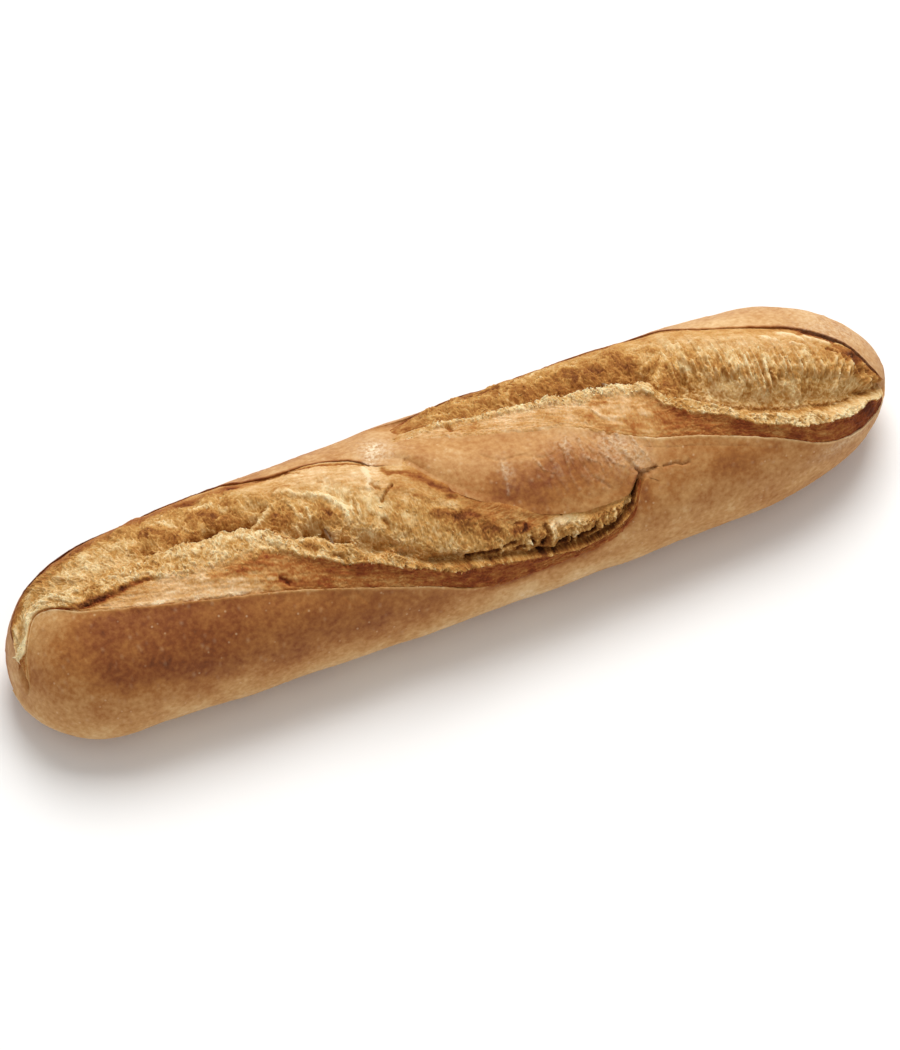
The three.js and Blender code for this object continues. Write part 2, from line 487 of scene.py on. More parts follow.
@dataclass(frozen=True)
class Stroke:
    """A soft form drawn along a line of [x, degrees] places: a ridge, a groove, a lump or a pocket.

    The width is from its middle line to where a third is left, the rise is in mm, and the tint says how much browner
    (crumb) or more floury (crust) it is. Browner tints in sunken pockets are painted shade, and flour on raised
    creases is partly a painted highlight.
    """

    line: Pairs
    width: float
    rise: float
    tint: float = 0.0

    def weight(self, x: Array, across: Array) -> Array:
        """exp(-(distance / width)^2.4) from the line, worked out only where it isn't nearly 0.

        Args:
            x: place along the loaf.
            across: place round the loaf, in mm on the unrolled surface.

        Returns:
            One weight from 0 to 1 for each place.
        """
        places = np.array(self.line, float) * [1, MM_PER_DEGREE]
        low, high = places.min(0) - 2.2 * self.width, places.max(0) + 2.2 * self.width
        near = (x > low[0]) & (x < high[0]) & (across > low[1]) & (across < high[1])
        here = np.stack([x[near], across[near]], -1)
        distance = np.linalg.norm(here - places[0], axis=-1)
        for start, end in zip(places[:-1], places[1:]):
            step = end - start
            share = np.clip(((here - start) @ step) / max(step @ step, 1e-9), 0, 1)
            distance = np.minimum(distance, np.linalg.norm(here - start - share[..., None] * step, axis=-1))
        weight = np.zeros(x.shape)
        weight[near] = np.exp(-((distance / self.width) ** 2.4))
        return weight


def strokes_from(*rows: tuple[float, ...]) -> tuple[Stroke, ...]:
    """Strokes from rows that hold width, rise and tint, and then the line's x, degrees, x, degrees and so on."""
    return tuple(Stroke(list(zip(row[3::2], row[4::2])), *row[:3]) for row in rows)


@dataclass(frozen=True)
class Slash:
    """One slash. Each list holds [place along the loaf, value] pairs, with a smooth curve through them.

    The lips, the front and back of the torn crest, and the valley are in degrees. Heights are mm over the
    uncut loaf. A lump of crumb can fill the valley at one place.
    """

    phase: float  # shifts the slow waves of crest and wall
    open_span: tuple[float, float, float, float]  # x where it is shut, fully open, closing and shut again
    near_lip: Pairs
    far_lip: Pairs
    crest: Pairs
    crest_back: Pairs
    valley: Pairs
    crest_height: Pairs
    step: Pairs  # 1 where the torn crest stands up like a wall, 0 where the band rises evenly to its back
    valley_depth: Pairs
    dome_height: Pairs
    near_rise: Pairs
    far_rise: Pairs
    groove: Pairs  # how far the wall lies below the far lip
    near_merge: Pairs  # 1 where the baked band runs into the near crust without an edge, 0 where a lip stands up
    far_merge: Pairs  # the same where the wall meets the far crust
    baking: dict[TearZone, Pairs]
    skin: Pairs  # how smooth the top of the wall is, 0 to 1
    curtain: Pairs  # how strongly the wall is drawn into hanging strands, 0 to 1
    cleft: Pairs  # 1 where the valley is a narrow cleft, browned as painted shade, 0 where it's open
    softness: Pairs  # how gradually the baked band turns into torn crumb, in mm
    strokes: tuple[Stroke, ...]
    lump: Triple = (0, 1, 0)  # x, reach and rise, in mm
    least_depth: float = 0.6

    def section(self, x: Array, loaf: UncutLoaf) -> SlashSection:
        """The slash's measures at each column.

        The crest, its back and the valley become shares of the way from near to far lip, kept in that order.
        The lump takes rise * exp(-(distance / reach)^2) off the valley's depth.

        Args:
            x: places along the loaf.
            loaf: the loaf that the slash is cut into.

        Returns:
            The measures, each as one value for each x.
        """
        shut, full, closing, end = self.open_span
        place, reach, rise = self.lump
        near, far = SmoothCurve(self.near_lip)(x), SmoothCurve(self.far_lip)(x)
        names = ("near_merge", "far_merge", "crest_height", "step", "softness", "cleft", "groove")
        plain = {name: SmoothCurve(getattr(self, name))(x) for name in names}
        depth = SmoothCurve(self.valley_depth)(x) - rise * np.exp(-(((x - place) / reach) ** 2))
        radius = ROUGH_RADIUS * loaf.end_share(x)

        def share(line: Pairs, low: Array | float, high: float) -> Array:
            """Where a line lies on the way from near to far lip, kept between low and high."""
            return np.clip((near - SmoothCurve(line)(x)) / (near - far), low, high)

        crest = share(self.crest, 0.04, 0.8)
        crest_back = share(self.crest_back, crest + 0.025, 0.9)
        return SlashSection(
            near=near,
            far=far,
            **plain,
            open_share=smooth_step(x, shut, full) * (1 - smooth_step(x, closing, end)),
            crest=crest,
            crest_back=crest_back,
            valley=share(self.valley, crest_back + 0.02, 0.95),
            depth=np.maximum(depth, self.least_depth),
            dome=SmoothCurve(self.dome_height)(x),
            near_rise=SmoothCurve(self.near_rise)(x) * (1 - plain["near_merge"]),
            far_rise=SmoothCurve(self.far_rise)(x) * (1 - plain["far_merge"]),
            width=(near - far) * DEGREE * radius,
            radius=radius,
        )


FRONT_STROKES = strokes_from(
    # The red strip below the crest at the left
    (0.9, -0.1, 0.4, -120.3, -10, -116.9, -4, -112.3, 1), (1.4, -0.1, 0.38, -112.1, 0, -108.5, 2, -101.5, 2),
    (0.9, -0.2, 0.4, -101.5, 2, -97.3, 2, -92.5, 3), (1.3, -0.15, 0.2, -110.5, -2, -107.3, 2),
    # Streaks and lumps on the left flap
    (0.8, 0.25, -0.12, -106.7, 12, -95.5, 19, -81.7, 26, -67.9, 33),
    (0.7, 0.3, -0.12, -89.9, 4, -79.5, 16, -70.7, 24, -63.3, 29),
    (2.2, 0.3, 0.3, -75.9, 18, -71.1, 18, -65.9, 18, -60.5, 18), (1.5, 0, 0.14, -63.3, 29, -53.7, 38, -45.7, 44),
    (0.8, -0.9, 0.3, -58.3, 32, -56.7, 36), (0.5, 0.35, -0.2, -61.7, 30, -59.5, 31),
    (0.5, 0.35, -0.2, -55.7, 34, -53.1, 36), (0.8, 0.3, -0.1, -92.1, 0, -88.3, 5, -82.9, 8),
    # Pockets behind the crest; their browner tint is painted shade
    (1.6, -1.5, 0.33, -90.7, -24, -88.7, -18), (1.3, -2, 0.35, -78.5, -17, -74.5, -14),
    (1.9, -2.4, 0.4, -71.9, -18, -68.7, -16, -65.7, -16), (1.2, -1.7, 0.2, -63.9, -14, -60.9, -14, -58.3, -14),
    (1.8, -1.5, 0.12, -57.3, -23, -54.5, -18), (1.1, -1.9, 0.25, -54.1, 6, -50.9, 10, -48.3, 10),
    (1, -0.9, 0.1, -50.9, 3, -49.3, 7), (2.2, -2.4, 0.2, -45.9, 9, -42.9, 9, -41.5, 15),
    (1, -1.6, 0.18, -40.1, 21, -36.3, 24), (2.8, -1.6, 0.08, -31.3, 28, -29.1, 34),
    (0.8, -1, 0.25, -24.1, 20, -23.7, 26), (1.2, -1.1, 0.1, -22.7, 42, -19.9, 44),
    (1, -1.2, 0.12, -14.7, 52, -10.3, 54, -7.3, 54), (0.7, -1.4, 0.5, -4.9, 57, -0.1, 58, 4.1, 59),
    (0.4, -1, 0.45, 5.7, 58, 9.7, 58), (0.6, -1.2, 0.4, 9.7, 62, 11.7, 62), (0.5, -1.2, 0.35, 14.1, 58, 14.9, 62),
    (0.75, -1.6, 0.45, 19.1, 55, 19.5, 60, 17.5, 64), (0.5, -1.2, 0.35, 15.5, 67, 17.1, 69),
    (0.55, -1.2, 0.4, 19.7, 71, 21.9, 68), (0.8, -1.8, 0.5, 22.9, 68, 24.1, 68, 25.5, 66),
    (0.45, -1.4, 0.4, 25.7, 71, 26.5, 66), (0.9, -1.7, 0.4, 28.3, 70, 30.5, 68, 32.7, 67),
    (0.5, -1.6, 0.4, 32.9, 68, 33.9, 63), (0.5, -1, 0.4, 35.5, 68, 37.5, 68),
    (0.8, -1.4, 0.05, 42.9, 62, 44.5, 58, 45.7, 56), (0.8, -1.8, 0.15, 46.5, 55, 48.1, 52, 49.7, 48),
    # Browned lumps over the pockets, and their pale rims
    (2.5, 0.7, 0.16, -88.3, -34, -84.1, -31, -80.9, -24), (0.7, 0.4, -0.25, -85.3, -38, -81.9, -37, -79.5, -29),
    (2.3, 0.6, 0.08, -73.9, -32, -69.9, -29, -67.3, -22, -63.9, -16),
    (0.8, 0.4, -0.28, -73.3, -36, -70.1, -37, -66.9, -34, -64.1, -29), (1.4, -0.7, 0.22, -74.7, -46, -71.3, -45),
    (0.9, -0.5, 0.3, -59.9, -45, -57.9, -44), (2.1, 0.5, 0.14, -50.7, -4, -45.5, -4, -40.7, 1, -35.7, 7),
    (1.2, 0.5, 0.15, -52.3, -8, -54.3, 0),
    (0.9, 0.7, -0.25, -49.3, -24, -43.3, -15, -37.9, -10, -34.5, -2, -33.3, 6, -33.5, 13),
    (0.45, 0.55, -0.3, -33.7, 2, -33.5, 8), (0.45, 0.55, -0.3, -31.3, 3, -31.9, 10),
    (0.45, 0.55, -0.3, -29.7, 6, -30.1, 13), (0.4, 0.5, -0.35, -43.3, -5, -43.5, 2),
    (0.45, 0.5, -0.2, -47.1, -10, -46.5, -4, -44.9, 0), (0.4, 0.5, -0.3, -48.1, 3, -47.5, 9),
    (0.9, -0.35, 0.25, -42.5, -10, -39.5, -5, -37.7, 4), (1, 0.9, -0.3, -58.7, -10, -55.5, -12, -52.3, -16),
    (0.8, 0.5, -0.1, -55.5, 4, -53.7, -2, -51.5, -7), (1, 0.8, -0.15, -40.1, 14, -37.1, 15, -34.7, 21, -33.9, 27),
    (0.8, 0.8, -0.1, -46.5, 2, -47.7, 10),
    # The middle of the wall
    (1.6, -0.2, -0.2, -6.5, 22, -3.3, 26), (0.8, -0.45, 0.25, -4.7, 20, -2.7, 22),
    (1.5, 0.15, 0.2, -10.7, 26, -7.1, 29), (1.2, -0.35, 0.35, -4.7, 33, -2.3, 33),
    (0.8, -0.3, 0.2, -0.5, 33, 1.3, 37), (0.5, -1.1, 0.35, -18.3, 0, -20.5, 4, -22.7, 8),
    (0.4, -0.5, 0.25, -23.5, -6, -21.9, 0), (0.7, -0.7, 0.25, -27.3, 12, -27.1, 16),
    (0.9, 0.3, -0.3, -23.1, -20, -22.9, -12, -24.7, -4), (3, 0, 0.14, -1.5, 40, 3.9, 46),
    (0.5, -0.4, 0.35, 11.3, 48, 13.3, 49, 13.7, 52, 12.3, 54),
    # The line under the far lip
    (2.4, 0, 0.2, -119.5, -45, -111.3, -48, -104.5, -50, -98.3, -49, -91.7, -50, -85.9, -48, -79.7, -48, -73.5, -48,
     -67.3, -47, -61.1, -47, -55.3, -45, -51.7, -43),
    (0.6, -0.3, 0.4, -51.9, -44, -47.5, -42, -42.9, -42, -38.5, -40, -33.1, -36, -25.5, -27, -21.7, -21),
    (0.7, -0.4, 0.3, -43.1, -40, -40.1, -36), (0.5, -0.4, 0.25, -36.5, -21, -35.7, -20),
    (0.9, -0.3, 0.35, -18.5, -14, -17.3, -9, -14.5, -7), (1.2, 0, 0.24, -13.1, -6, -10.1, 0, -7.5, 7),
    (1, -0.25, 0.28, -7.5, 9, -4.9, 14, -1.1, 18), (1, -0.3, 0.25, -0.3, 21, 4.1, 27),
    (0.5, -0.4, 0.4, 20.5, 46, 23.1, 48, 24.7, 51), (1, 0, 0.22, 0.9, 20, 3.5, 26),
    (0.8, -0.3, 0.25, 5.3, 47, 6.3, 52), (1.2, 0, 0.3, 9.7, 52, 13.7, 52),
    # The pale curtain at the right
    (1.5, 0.2, -0.3, 21.3, 54, 25.3, 55, 30.5, 59), (0.4, 0.6, -0.3, 5.1, 56, 4.5, 64),
    (0.5, 0.6, -0.3, 13.9, 57, 12.5, 66), (0.8, 0.7, -0.35, 20.9, 56, 20.9, 63, 18.9, 71),
    (0.35, 0.6, -0.3, 25.7, 65, 25.3, 73), (0.4, 0.6, -0.3, 27.5, 64, 27.1, 74), (0.6, 0.5, 0, 35.7, 60, 34.9, 68),
    (0.4, 0.5, -0.3, 39.7, 59, 39.5, 67),
    # Teeth and hollows of the crest
    (0.6, 0.7, 0, -36.1, 26, -36.5, 32), (0.8, 0.8, 0, -26.7, 36, -26.9, 42), (0.5, 0.7, -0.1, -24.7, 38, -24.9, 43),
    (0.6, 0.5, 0, -54.5, 4, -54.9, 10), (0.6, 0.5, -0.1, -48.7, 14, -49.3, 19),
    (0.8, -0.9, 0.12, -42.5, 30, -39.7, 33), (1.1, -0.3, 0.14, -48.9, 19, -46.5, 23),
    (0.8, 0.35, -0.2, -45.9, 27, -43.1, 32, -40.5, 33), (1.2, 0.2, 0.12, -47.9, 18, -41.9, 26),
    (0.9, 0.4, -0.08, -32, 40, -27, 44),
)

BACK_STROKES = strokes_from(
    # Browned places on the flap and the left wall
    (1.2, -0.35, 0.3, -5.5, -44, -1.5, -40), (0.7, -0.8, 0.3, 4.7, -29, 5.1, -25),
    (1.3, -0.4, 0.2, 20.3, -50, 22.5, -49), (1.6, 0, 0.1, 26.7, -38, 30.7, -38), (2, 0, -0.06, 36, -33, 43, -33),
    (1.6, 0.2, 0.04, 38.7, -47, 42.5, -43, 45.1, -37), (2.2, 0.2, -0.08, 51.1, -39, 56.3, -34, 61.9, -32),
    (1.5, 0, -0.04, 52.1, -28, 56.9, -24), (1.2, 0.3, 0.3, 44.7, -6, 48.5, -4), (1.6, 0.2, 0.25, 40.3, -4, 43.3, 0),
    (1.3, 0.2, 0.15, 24.9, -16, 31.7, -11), (1.5, 0.2, 0.15, 8.1, -24, 15.9, -18),
    # Pale rims, walls between pockets and a curl
    (0.7, 0.45, -0.25, 34.9, -42, 39.1, -41, 44.3, -44, 48.3, -41), (0.6, 0.4, -0.2, 45.3, -30, 48.3, -36),
    (1.2, 0.3, 0.06, 65.5, -34, 69.3, -29), (0.6, 0.4, -0.2, 24.1, -36, 27.1, -44),
    (0.9, 0.7, -0.25, 60.5, -16, 64.9, -22, 68.3, -24), (1, 0.7, -0.2, 64.5, -5, 68.1, -15, 70.5, -20),
    (0.55, 0.5, -0.2, 44.5, -2, 45.9, 3, 47.1, 6, 52.3, 10), (0.9, 0.45, -0.25, 57.1, 10, 59.1, 14),
    # Hollows; the browner tint of the sunken ones is painted shade
    (1.2, -1, 0.12, 34.7, -28, 44.7, -23, 50.7, -22, 59.1, -17), (1.4, -1.3, 0.15, 62.1, -16, 65.1, -16),
    (1.4, -0.7, 0.1, 63.7, -24, 68.1, -23), (1.1, -0.8, 0.1, 19.5, -38, 27.9, -32),
    (0.8, -0.6, 0.16, 50, -18, 55.5, -15, 60, -11), (1.8, 0.15, -0.12, 84, 4, 89, 6),
    (0.8, -0.5, 0.12, 75, 13, 80, 20, 84, 27, 90, 33, 98, 40, 106, 44, 112, 49.5, 119, 53),
    # The knot that closes the left pocket
    (1.1, 1.2, 0, 70.1, -14, 72.1, -16, 71.9, -7, 69.1, 4), (0.8, -1.2, 0.05, 74.3, -14, 73.1, -2),
    (1.5, 0.8, 0, 69.7, -11, 67.1, 0), (1.3, -0.6, 0.1, 67.1, 5, 69.7, 9),
    (1.8, -0.3, 0.12, 73.1, -2, 74.5, 4, 72.9, 8),
    # Strands
    (0.6, 0.8, -0.12, 76.9, -13, 77.7, -5, 77.5, 0), (0.6, 0.8, -0.12, 79.1, -12, 79.7, -5, 80.1, 2),
    (0.6, 0.8, -0.12, 81.7, -12, 82.3, -4, 82.3, 5), (0.5, 0.7, -0.1, 85.7, -6, 86.1, 1),
    (0.6, 0.8, -0.12, 88.3, -2, 87.9, 6, 87.1, 13), (0.6, 0.8, -0.12, 91.3, 0, 91.1, 8, 90.5, 16),
    (0.65, 0.9, -0.15, 96.5, 2, 95.5, 12, 93.9, 22), (0.5, 0.7, -0.1, 98.5, 8, 98.7, 16),
    (0.6, 0.8, -0.12, 101.1, 9, 100.7, 17, 99.3, 26), (0.65, 0.9, -0.15, 105.9, 11, 104.9, 22, 103.9, 28, 103.9, 35),
    (0.6, 0.8, -0.12, 108.1, 5, 108.3, 18, 107.7, 27), (0.5, 0.7, -0.1, 112.7, 10, 111.5, 21),
    (0.6, 0.8, -0.12, 116.9, 16, 113.9, 29), (0.6, 0.8, -0.12, 117.9, 20, 115.3, 38),
    (0.65, 0.9, -0.15, 120.9, 17, 119.9, 27, 118.3, 35),
    # The line and the flakes under the far lip
    (0.7, -0.25, 0.2, 64.1, -61, 69.5, -56, 77.5, -48, 85.1, -39, 92.5, -34, 100.9, -26, 113.1, -17),
    (1.1, -0.6, 0.45, 112.9, -16, 119.5, -8, 124.3, 4, 127.1, 14, 130.5, 37),
    (0.6, -0.3, 0.35, -5.1, -54, 5.7, -65, 16.5, -54, 26.7, -50, 45.7, -63, 57.3, -57, 64.1, -61),
    (1.2, 0.6, -0.5, 111.3, -9, 114.3, -5, 116.9, 1), (1.5, 0, 0.2, 121, 14, 123, 22),
    (0.9, 0.5, -0.4, 104.5, -16, 107.5, -12, 110, -5), (0.8, 0.5, -0.3, 99.5, -14, 102.5, -8),
    (0.6, 0.5, -0.3, 106, -3, 108.5, 2), (0.8, 0.5, -0.4, 120.1, 0, 123.3, 4, 125.3, 9),
    (0.6, -0.7, 0.4, 116.1, 6, 117.7, 11), (0.5, -0.6, 0.4, 114.7, -7, 115.7, -6),
    # The right end
    (1.7, -1.3, 0.25, 123.3, 14, 123.7, 26, 125.1, 36), (0.5, 0.8, -0.2, 125.1, 24, 125.7, 36, 125.7, 45),
    (1.3, 0.9, -0.2, 124.3, 46, 126.9, 54), (1.1, 0.6, -0.1, 123.5, 59, 126.5, 68),
    (0.8, -0.8, 0.15, 122.1, 50, 125.1, 57),
)

FRONT_SLASH = Slash(
    phase=0.9,
    open_span=(-134.3, -132.6, 46.5, 52.5),
    near_lip=[
        (-134, 62), (-131, 5), (-125.5, -20), (-114, 4), (-94, 22), (-55, 42), (-20, 64), (3, 79), (30, 78), (44, 69),
        (51.5, 50), (58, 60), (85, 90), (119, 120),
    ],
    far_lip=[
        (-134, 5), (-131, -60), (-122, -67), (-94, -66), (-66, -65), (-55, -50), (-47, -43), (-38, -42), (-26, -31),
        (-20, -19), (-12, -11), (-6, 8), (0, 23), (8, 35), (16, 45), (24, 51), (34, 55), (44, 55), (51.5, 43),
        (58, 46), (85, 72), (119, 102),
    ],
    crest=[
        (-131, 2), (-125.5, -22), (-114, 1), (-104, 2), (-97, 1), (-88, 5), (-79, 9), (-68, 12), (-59, 14),
        (-54, 18.5), (-51, 24), (-43, 32.5), (-40, 37), (-33, 41), (-25, 48.5), (-18, 54), (-12, 60), (-6, 62.5),
        (2, 65), (6, 67), (11, 69), (15.5, 70.8), (21, 73.2), (26, 74.2), (31, 74.5), (34, 73.6), (37.5, 72),
        (40.7, 69.5), (44.7, 64.5), (51, 49),
    ],
    crest_back=[
        (-131, -8), (-125.5, -30), (-109, -10), (-93, -12), (-80, -9), (-66, -6), (-57, 2), (-53, 12), (-49, 14),
        (-43, 18), (-40, 24), (-36, 29), (-34, 35), (-30, 38), (-25, 42), (-21, 48.5), (-16.5, 53.5), (-10, 58.6),
        (-5, 60.6), (2, 63.6), (6, 65.6), (11, 67.9), (15.5, 69.6), (21, 72), (26, 73.1), (31, 73.4), (34, 72.5),
        (37.5, 70.9), (40.7, 68.3), (44.7, 63.2), (51, 47),
    ],
    valley=[
        (-131, -25), (-122, -38), (-109, -20), (-90, -19), (-80, -16), (-69, -15), (-60, -10), (-52, 6), (-44, 12),
        (-40, 19), (-36, 23), (-31.5, 33), (-25, 39), (-21, 46), (-16.5, 51.5), (-10, 56.3), (-5, 58.6), (2, 61.8),
        (6, 63.8), (11, 66.4), (15.5, 68.3), (21, 70.9), (26, 72.1), (31, 72.4), (34, 71.5), (37.5, 69.9),
        (40.7, 67.2), (44.7, 62), (51, 44.5),
    ],
    crest_height=[(-131, 0.3), (-104, 1), (-60, 1.8), (-30, 1.5), (0, 1), (20, 0.6), (44, 0.2)],
    step=[(-118, 0.6), (-100, 0.6), (-90, 0), (-60, 0), (-48, 0.8), (-36, 1)],
    valley_depth=[
        (-130, 0.9), (-108, 1.2), (-90, 2.4), (-70, 3), (-45, 3.4), (-25, 3.2), (-10, 2.6), (5, 2.1), (38, 1.8),
        (46, 1.6),
    ],
    dome_height=[(-130, 0.2), (-90, 0.7), (-40, 1), (-12, 0.6), (0, 0.2), (25, -0.4), (48, -0.5)],
    near_rise=[(-131, 0.3), (-100, 0.45), (-60, 0.6), (0, 0.6), (30, 0.4), (48, 0.2)],
    far_rise=[(-131, 0.2), (-60, 0.25), (-40, 0.2), (-14, 0.1), (4, 0.08), (10, 0.2), (18, 0.5), (48, 0.5)],
    groove=[(-131, 0.35), (-60, 0.35), (-40, 0.2), (-14, 0.1), (4, 0), (18, 0.1), (26, 0.3), (44, 0.5)],
    near_merge=[(-16, 0), (8, 1), (42, 1), (50, 0.3)],
    far_merge=[(-24, 0), (-12, 1), (42, 1), (50, 0.2)],
    baking={
        TearZone.LOW_BAND: [
            (-120, 0.45), (-104, 0.34), (-80, 0.3), (-66, 0.44), (-50, 0.6), (-36, 0.64), (-22, 0.66), (-8, 0.76),
            (10, 0.78), (30, 0.74),
        ],
        TearZone.HIGH_BAND: [
            (-120, 0.6), (-112, 0.6), (-101, 0.45), (-92, 0.3), (-70, 0.32), (-60, 0.5), (-50, 0.7), (-40, 0.72),
            (-20, 0.78), (0, 0.76), (30, 0.76),
        ],
        TearZone.CREST: [
            (-134, 0.02), (-127, 0.16), (-112, 0.42), (-100, 0.42), (-75, 0.36), (-60, 0.34), (-50, 0.4), (-25, 0.52),
            (-10, 0.58), (0, 0.54), (12, 0.56), (30, 0.6),
        ],
        TearZone.LOW_WALL: [
            (-131, 0.3), (-120, 0.3), (-108, 0.28), (-98, 0.34), (-80, 0.46), (-66, 0.5), (-55, 0.44), (-40, 0.36),
            (-20, 0.38), (5, 0.5), (14, 0.5), (24, 0.46), (46, 0.56),
        ],
        TearZone.HIGH_WALL: [
            (-131, 0.66), (-120, 0.56), (-108, 0.48), (-95, 0.38), (-80, 0.34), (-60, 0.44), (-48, 0.4), (-40, 0.3),
            (-25, 0.28), (-12, 0.48), (0, 0.54), (15, 0.54), (22, 0.42), (34, 0.56), (44, 0.5),
        ],
        TearZone.RIM: [
            (-131, 0.8), (-100, 0.72), (-75, 0.62), (-56, 0.45), (-40, 0.28), (-22, 0.28), (-10, 0.46), (0, 0.56),
            (20, 0.55), (44, 0.5),
        ],
    },
    skin=[(-131, 0.5), (-60, 0.6), (-40, 0.8), (-14, 0.75), (-4, 0.4), (8, 0.8), (22, 0.6), (28, 0.1)],
    curtain=[(4, 0), (14, 0.5), (26, 0.7), (46, 0.7)],
    cleft=[(-50, 0), (-30, 0.5), (-14, 0.9), (4, 1)],
    softness=[(-131, 0.3), (-112, 0.5), (-100, 2.5), (-90, 4.5), (-64, 4.5), (-52, 1.2), (-38, 0.5)],
    strokes=FRONT_STROKES,
)

BACK_SLASH = Slash(
    phase=2.7,
    lump=(66, 3, 3.4),
    open_span=(-18, 4, 128.6, 133.8),
    near_lip=[
        (-128, -88), (-94, -92), (-56, -80), (-30, -52), (-16, -36), (-9, -32), (-3, -28), (5, -21), (18, -11),
        (34, 1), (57, 28), (71, 37), (93, 55), (108, 72), (119, 80), (128, 84), (133, 88),
    ],
    far_lip=[
        (-128, -110), (-94, -112), (-56, -104), (-30, -80), (-14, -60), (-4, -58), (6, -64), (15, -66.5), (26, -66.5),
        (45, -66), (58, -63), (64, -59), (74, -55), (81, -46), (86, -39), (92, -33), (103, -25), (110, -21),
        (116, -15), (122, -4), (125, 6), (129, 36), (131, 52), (133, 64),
    ],
    crest=[
        (-14, -38), (-8, -36), (-4, -33), (0, -30.6), (3, -29.5), (9, -26), (13.5, -23.5), (21, -21), (28.5, -18),
        (33, -16), (37, -14.5), (41, -11.5), (48, -9), (53, -7.5), (56, -4.2), (59, -2), (61.5, 3), (64, 12),
        (66.5, 16), (70, 22), (74, 25.5), (78, 30), (83, 36), (89, 43.5), (95, 47.5), (99, 52), (103.5, 54.2),
        (108, 57), (113, 59.2), (118, 60.8), (122, 60), (130, 70),
    ],
    crest_back=[
        (-14, -43), (-8, -41), (0, -35), (9, -29), (14, -26.5), (22, -24), (29, -21.5), (34, -19.8), (42, -16.5),
        (49, -14), (54, -12), (57, -9.5), (60, -8), (63, -3), (64.5, 3.5), (66, 9), (70, 12.5), (74, 17.5),
        (78, 23.5), (82.5, 30.2), (85, 34.5), (92, 38.2), (96, 42.2), (99, 46), (105, 48), (109, 53.5), (113, 55),
        (120.5, 56.5), (130, 66),
    ],
    valley=[
        (-14, -48), (-8, -46), (0, -42), (8, -37), (17, -34), (28, -31), (41, -26), (51, -21), (58, -16), (63, -11),
        (66, 1), (69, 7), (75, 13), (80, 20), (84, 27), (90, 33), (98, 40), (106, 44), (112, 49.5), (119, 53),
        (126, 56), (131, 63),
    ],
    crest_height=[(0, 0.4), (20, 1), (60, 1.5), (90, 1.4), (120, 1.2), (127, 0.7), (132, 0.1)],
    step=[(0, 0.3), (54, 0.2), (62, 0.4), (66, 1)],
    valley_depth=[(0, 1.2), (20, 2.2), (60, 3.6), (90, 3.8), (110, 3.2), (124, 2.2), (131, 1)],
    dome_height=[(0, 0.2), (40, 0.4), (66, 0.8), (90, 1.8), (118, 1), (130, 0.2)],
    near_rise=[(0, 0.1), (40, 0.2), (60, 0.35), (80, 0.5), (126, 0.5)],
    far_rise=[(0, 0.2), (60, 0.18), (90, 0.22), (126, 0.45)],
    groove=[(0, 0.3), (60, 0.12), (100, 0.15), (112, 0.4), (130, 0.5)],
    near_merge=[(0, 1), (24, 0.8), (46, 0.4), (60, 0)],
    far_merge=[(-2, 1), (14, 0)],
    baking={
        TearZone.LOW_BAND: [
            (0, 0.38), (30, 0.36), (50, 0.5), (66, 0.6), (75, 0.7), (90, 0.72), (110, 0.76), (122, 0.95),
        ],
        TearZone.HIGH_BAND: [
            (0, 0.26), (50, 0.25), (58, 0.4), (66, 0.7), (75, 0.76), (90, 0.68), (105, 0.72), (118, 0.92),
        ],
        TearZone.CREST: [(0, 0.36), (30, 0.32), (48, 0.3), (60, 0.38), (75, 0.4), (105, 0.3), (126, 0.22)],
        TearZone.LOW_WALL: [(0, 0.56), (25, 0.54), (50, 0.7), (60, 0.7), (66, 0.5), (75, 0.42), (126, 0.44)],
        TearZone.HIGH_WALL: [
            (0, 0.58), (30, 0.42), (45, 0.4), (58, 0.48), (66, 0.38), (74, 0.3), (90, 0.29), (110, 0.33), (118, 0.48),
            (122, 0.66),
        ],
        TearZone.RIM: [(0, 0.7), (45, 0.55), (60, 0.5), (72, 0.43), (88, 0.42), (104, 0.45), (114, 0.68), (124, 0.8)],
    },
    skin=[(0, 0.1), (60, 0.2), (74, 0.5), (110, 0.6), (124, 0.3)],
    curtain=[(66, 0), (74, 0.8), (126, 1)],
    cleft=[(0, 0.3), (60, 0.2)],
    softness=[(0, 1.2), (50, 2.5), (64, 0.6)],
    strokes=BACK_STROKES,
)


def turned_outward(faces: Array, vertices: Array) -> Array:
    """Triangles of a closed mesh, all turned round if the volume they enclose comes out negative."""
    p, q, r = (vertices[faces[:, k]] for k in range(3))
    return faces if (p * np.cross(q, r)).sum() > 0 else faces[:, ::-1]


@dataclass(frozen=True)
class Surface:
    """A closed tube of rings, with a point at each end and a few values at every vertex."""

    points: Array  # (rings, rows, 3)
    tips: Array  # (2, 3)
    values: dict[str, Array] = field(default_factory=dict)  # each (rings, rows)
    looseness: Array | None = None  # how likely slivers stand off each point

    def vertices(self) -> Array:
        """All points as one list, the two tips last."""
        return np.concatenate([self.points.reshape(-1, 3), self.tips])

    def faces(self, vertices: Array) -> Array:
        """Triangles over the rings and the two end fans. Each cell is split along its shorter diagonal.

        Args:
            vertices: the points, as made by vertices().

        Returns:
            Vertex numbers, three to a face.
        """
        rings, rows = self.points.shape[:2]
        ring, row = np.meshgrid(np.arange(rings - 1), np.arange(rows), indexing="ij")
        a, b = ring * rows + row, ring * rows + (row + 1) % rows
        c, d = b + rows, a + rows
        across = np.linalg.norm(vertices[a] - vertices[c], axis=-1)
        other = np.linalg.norm(vertices[b] - vertices[d], axis=-1)
        first = (across < other)[..., None]
        cells = np.where(first, np.stack([a, d, c, a, c, b], -1), np.stack([a, d, b, b, d, c], -1))
        rim, after = np.arange(rows), (np.arange(rows) + 1) % rows
        low_tip, high_tip = np.full(rows, rings * rows), np.full(rows, rings * rows + 1)
        last = (rings - 1) * rows
        fans = [np.stack([low_tip, rim, after], -1), np.stack([high_tip, last + after, last + rim], -1)]
        return turned_outward(np.concatenate([cells.reshape(-1, 3), *fans]), vertices)


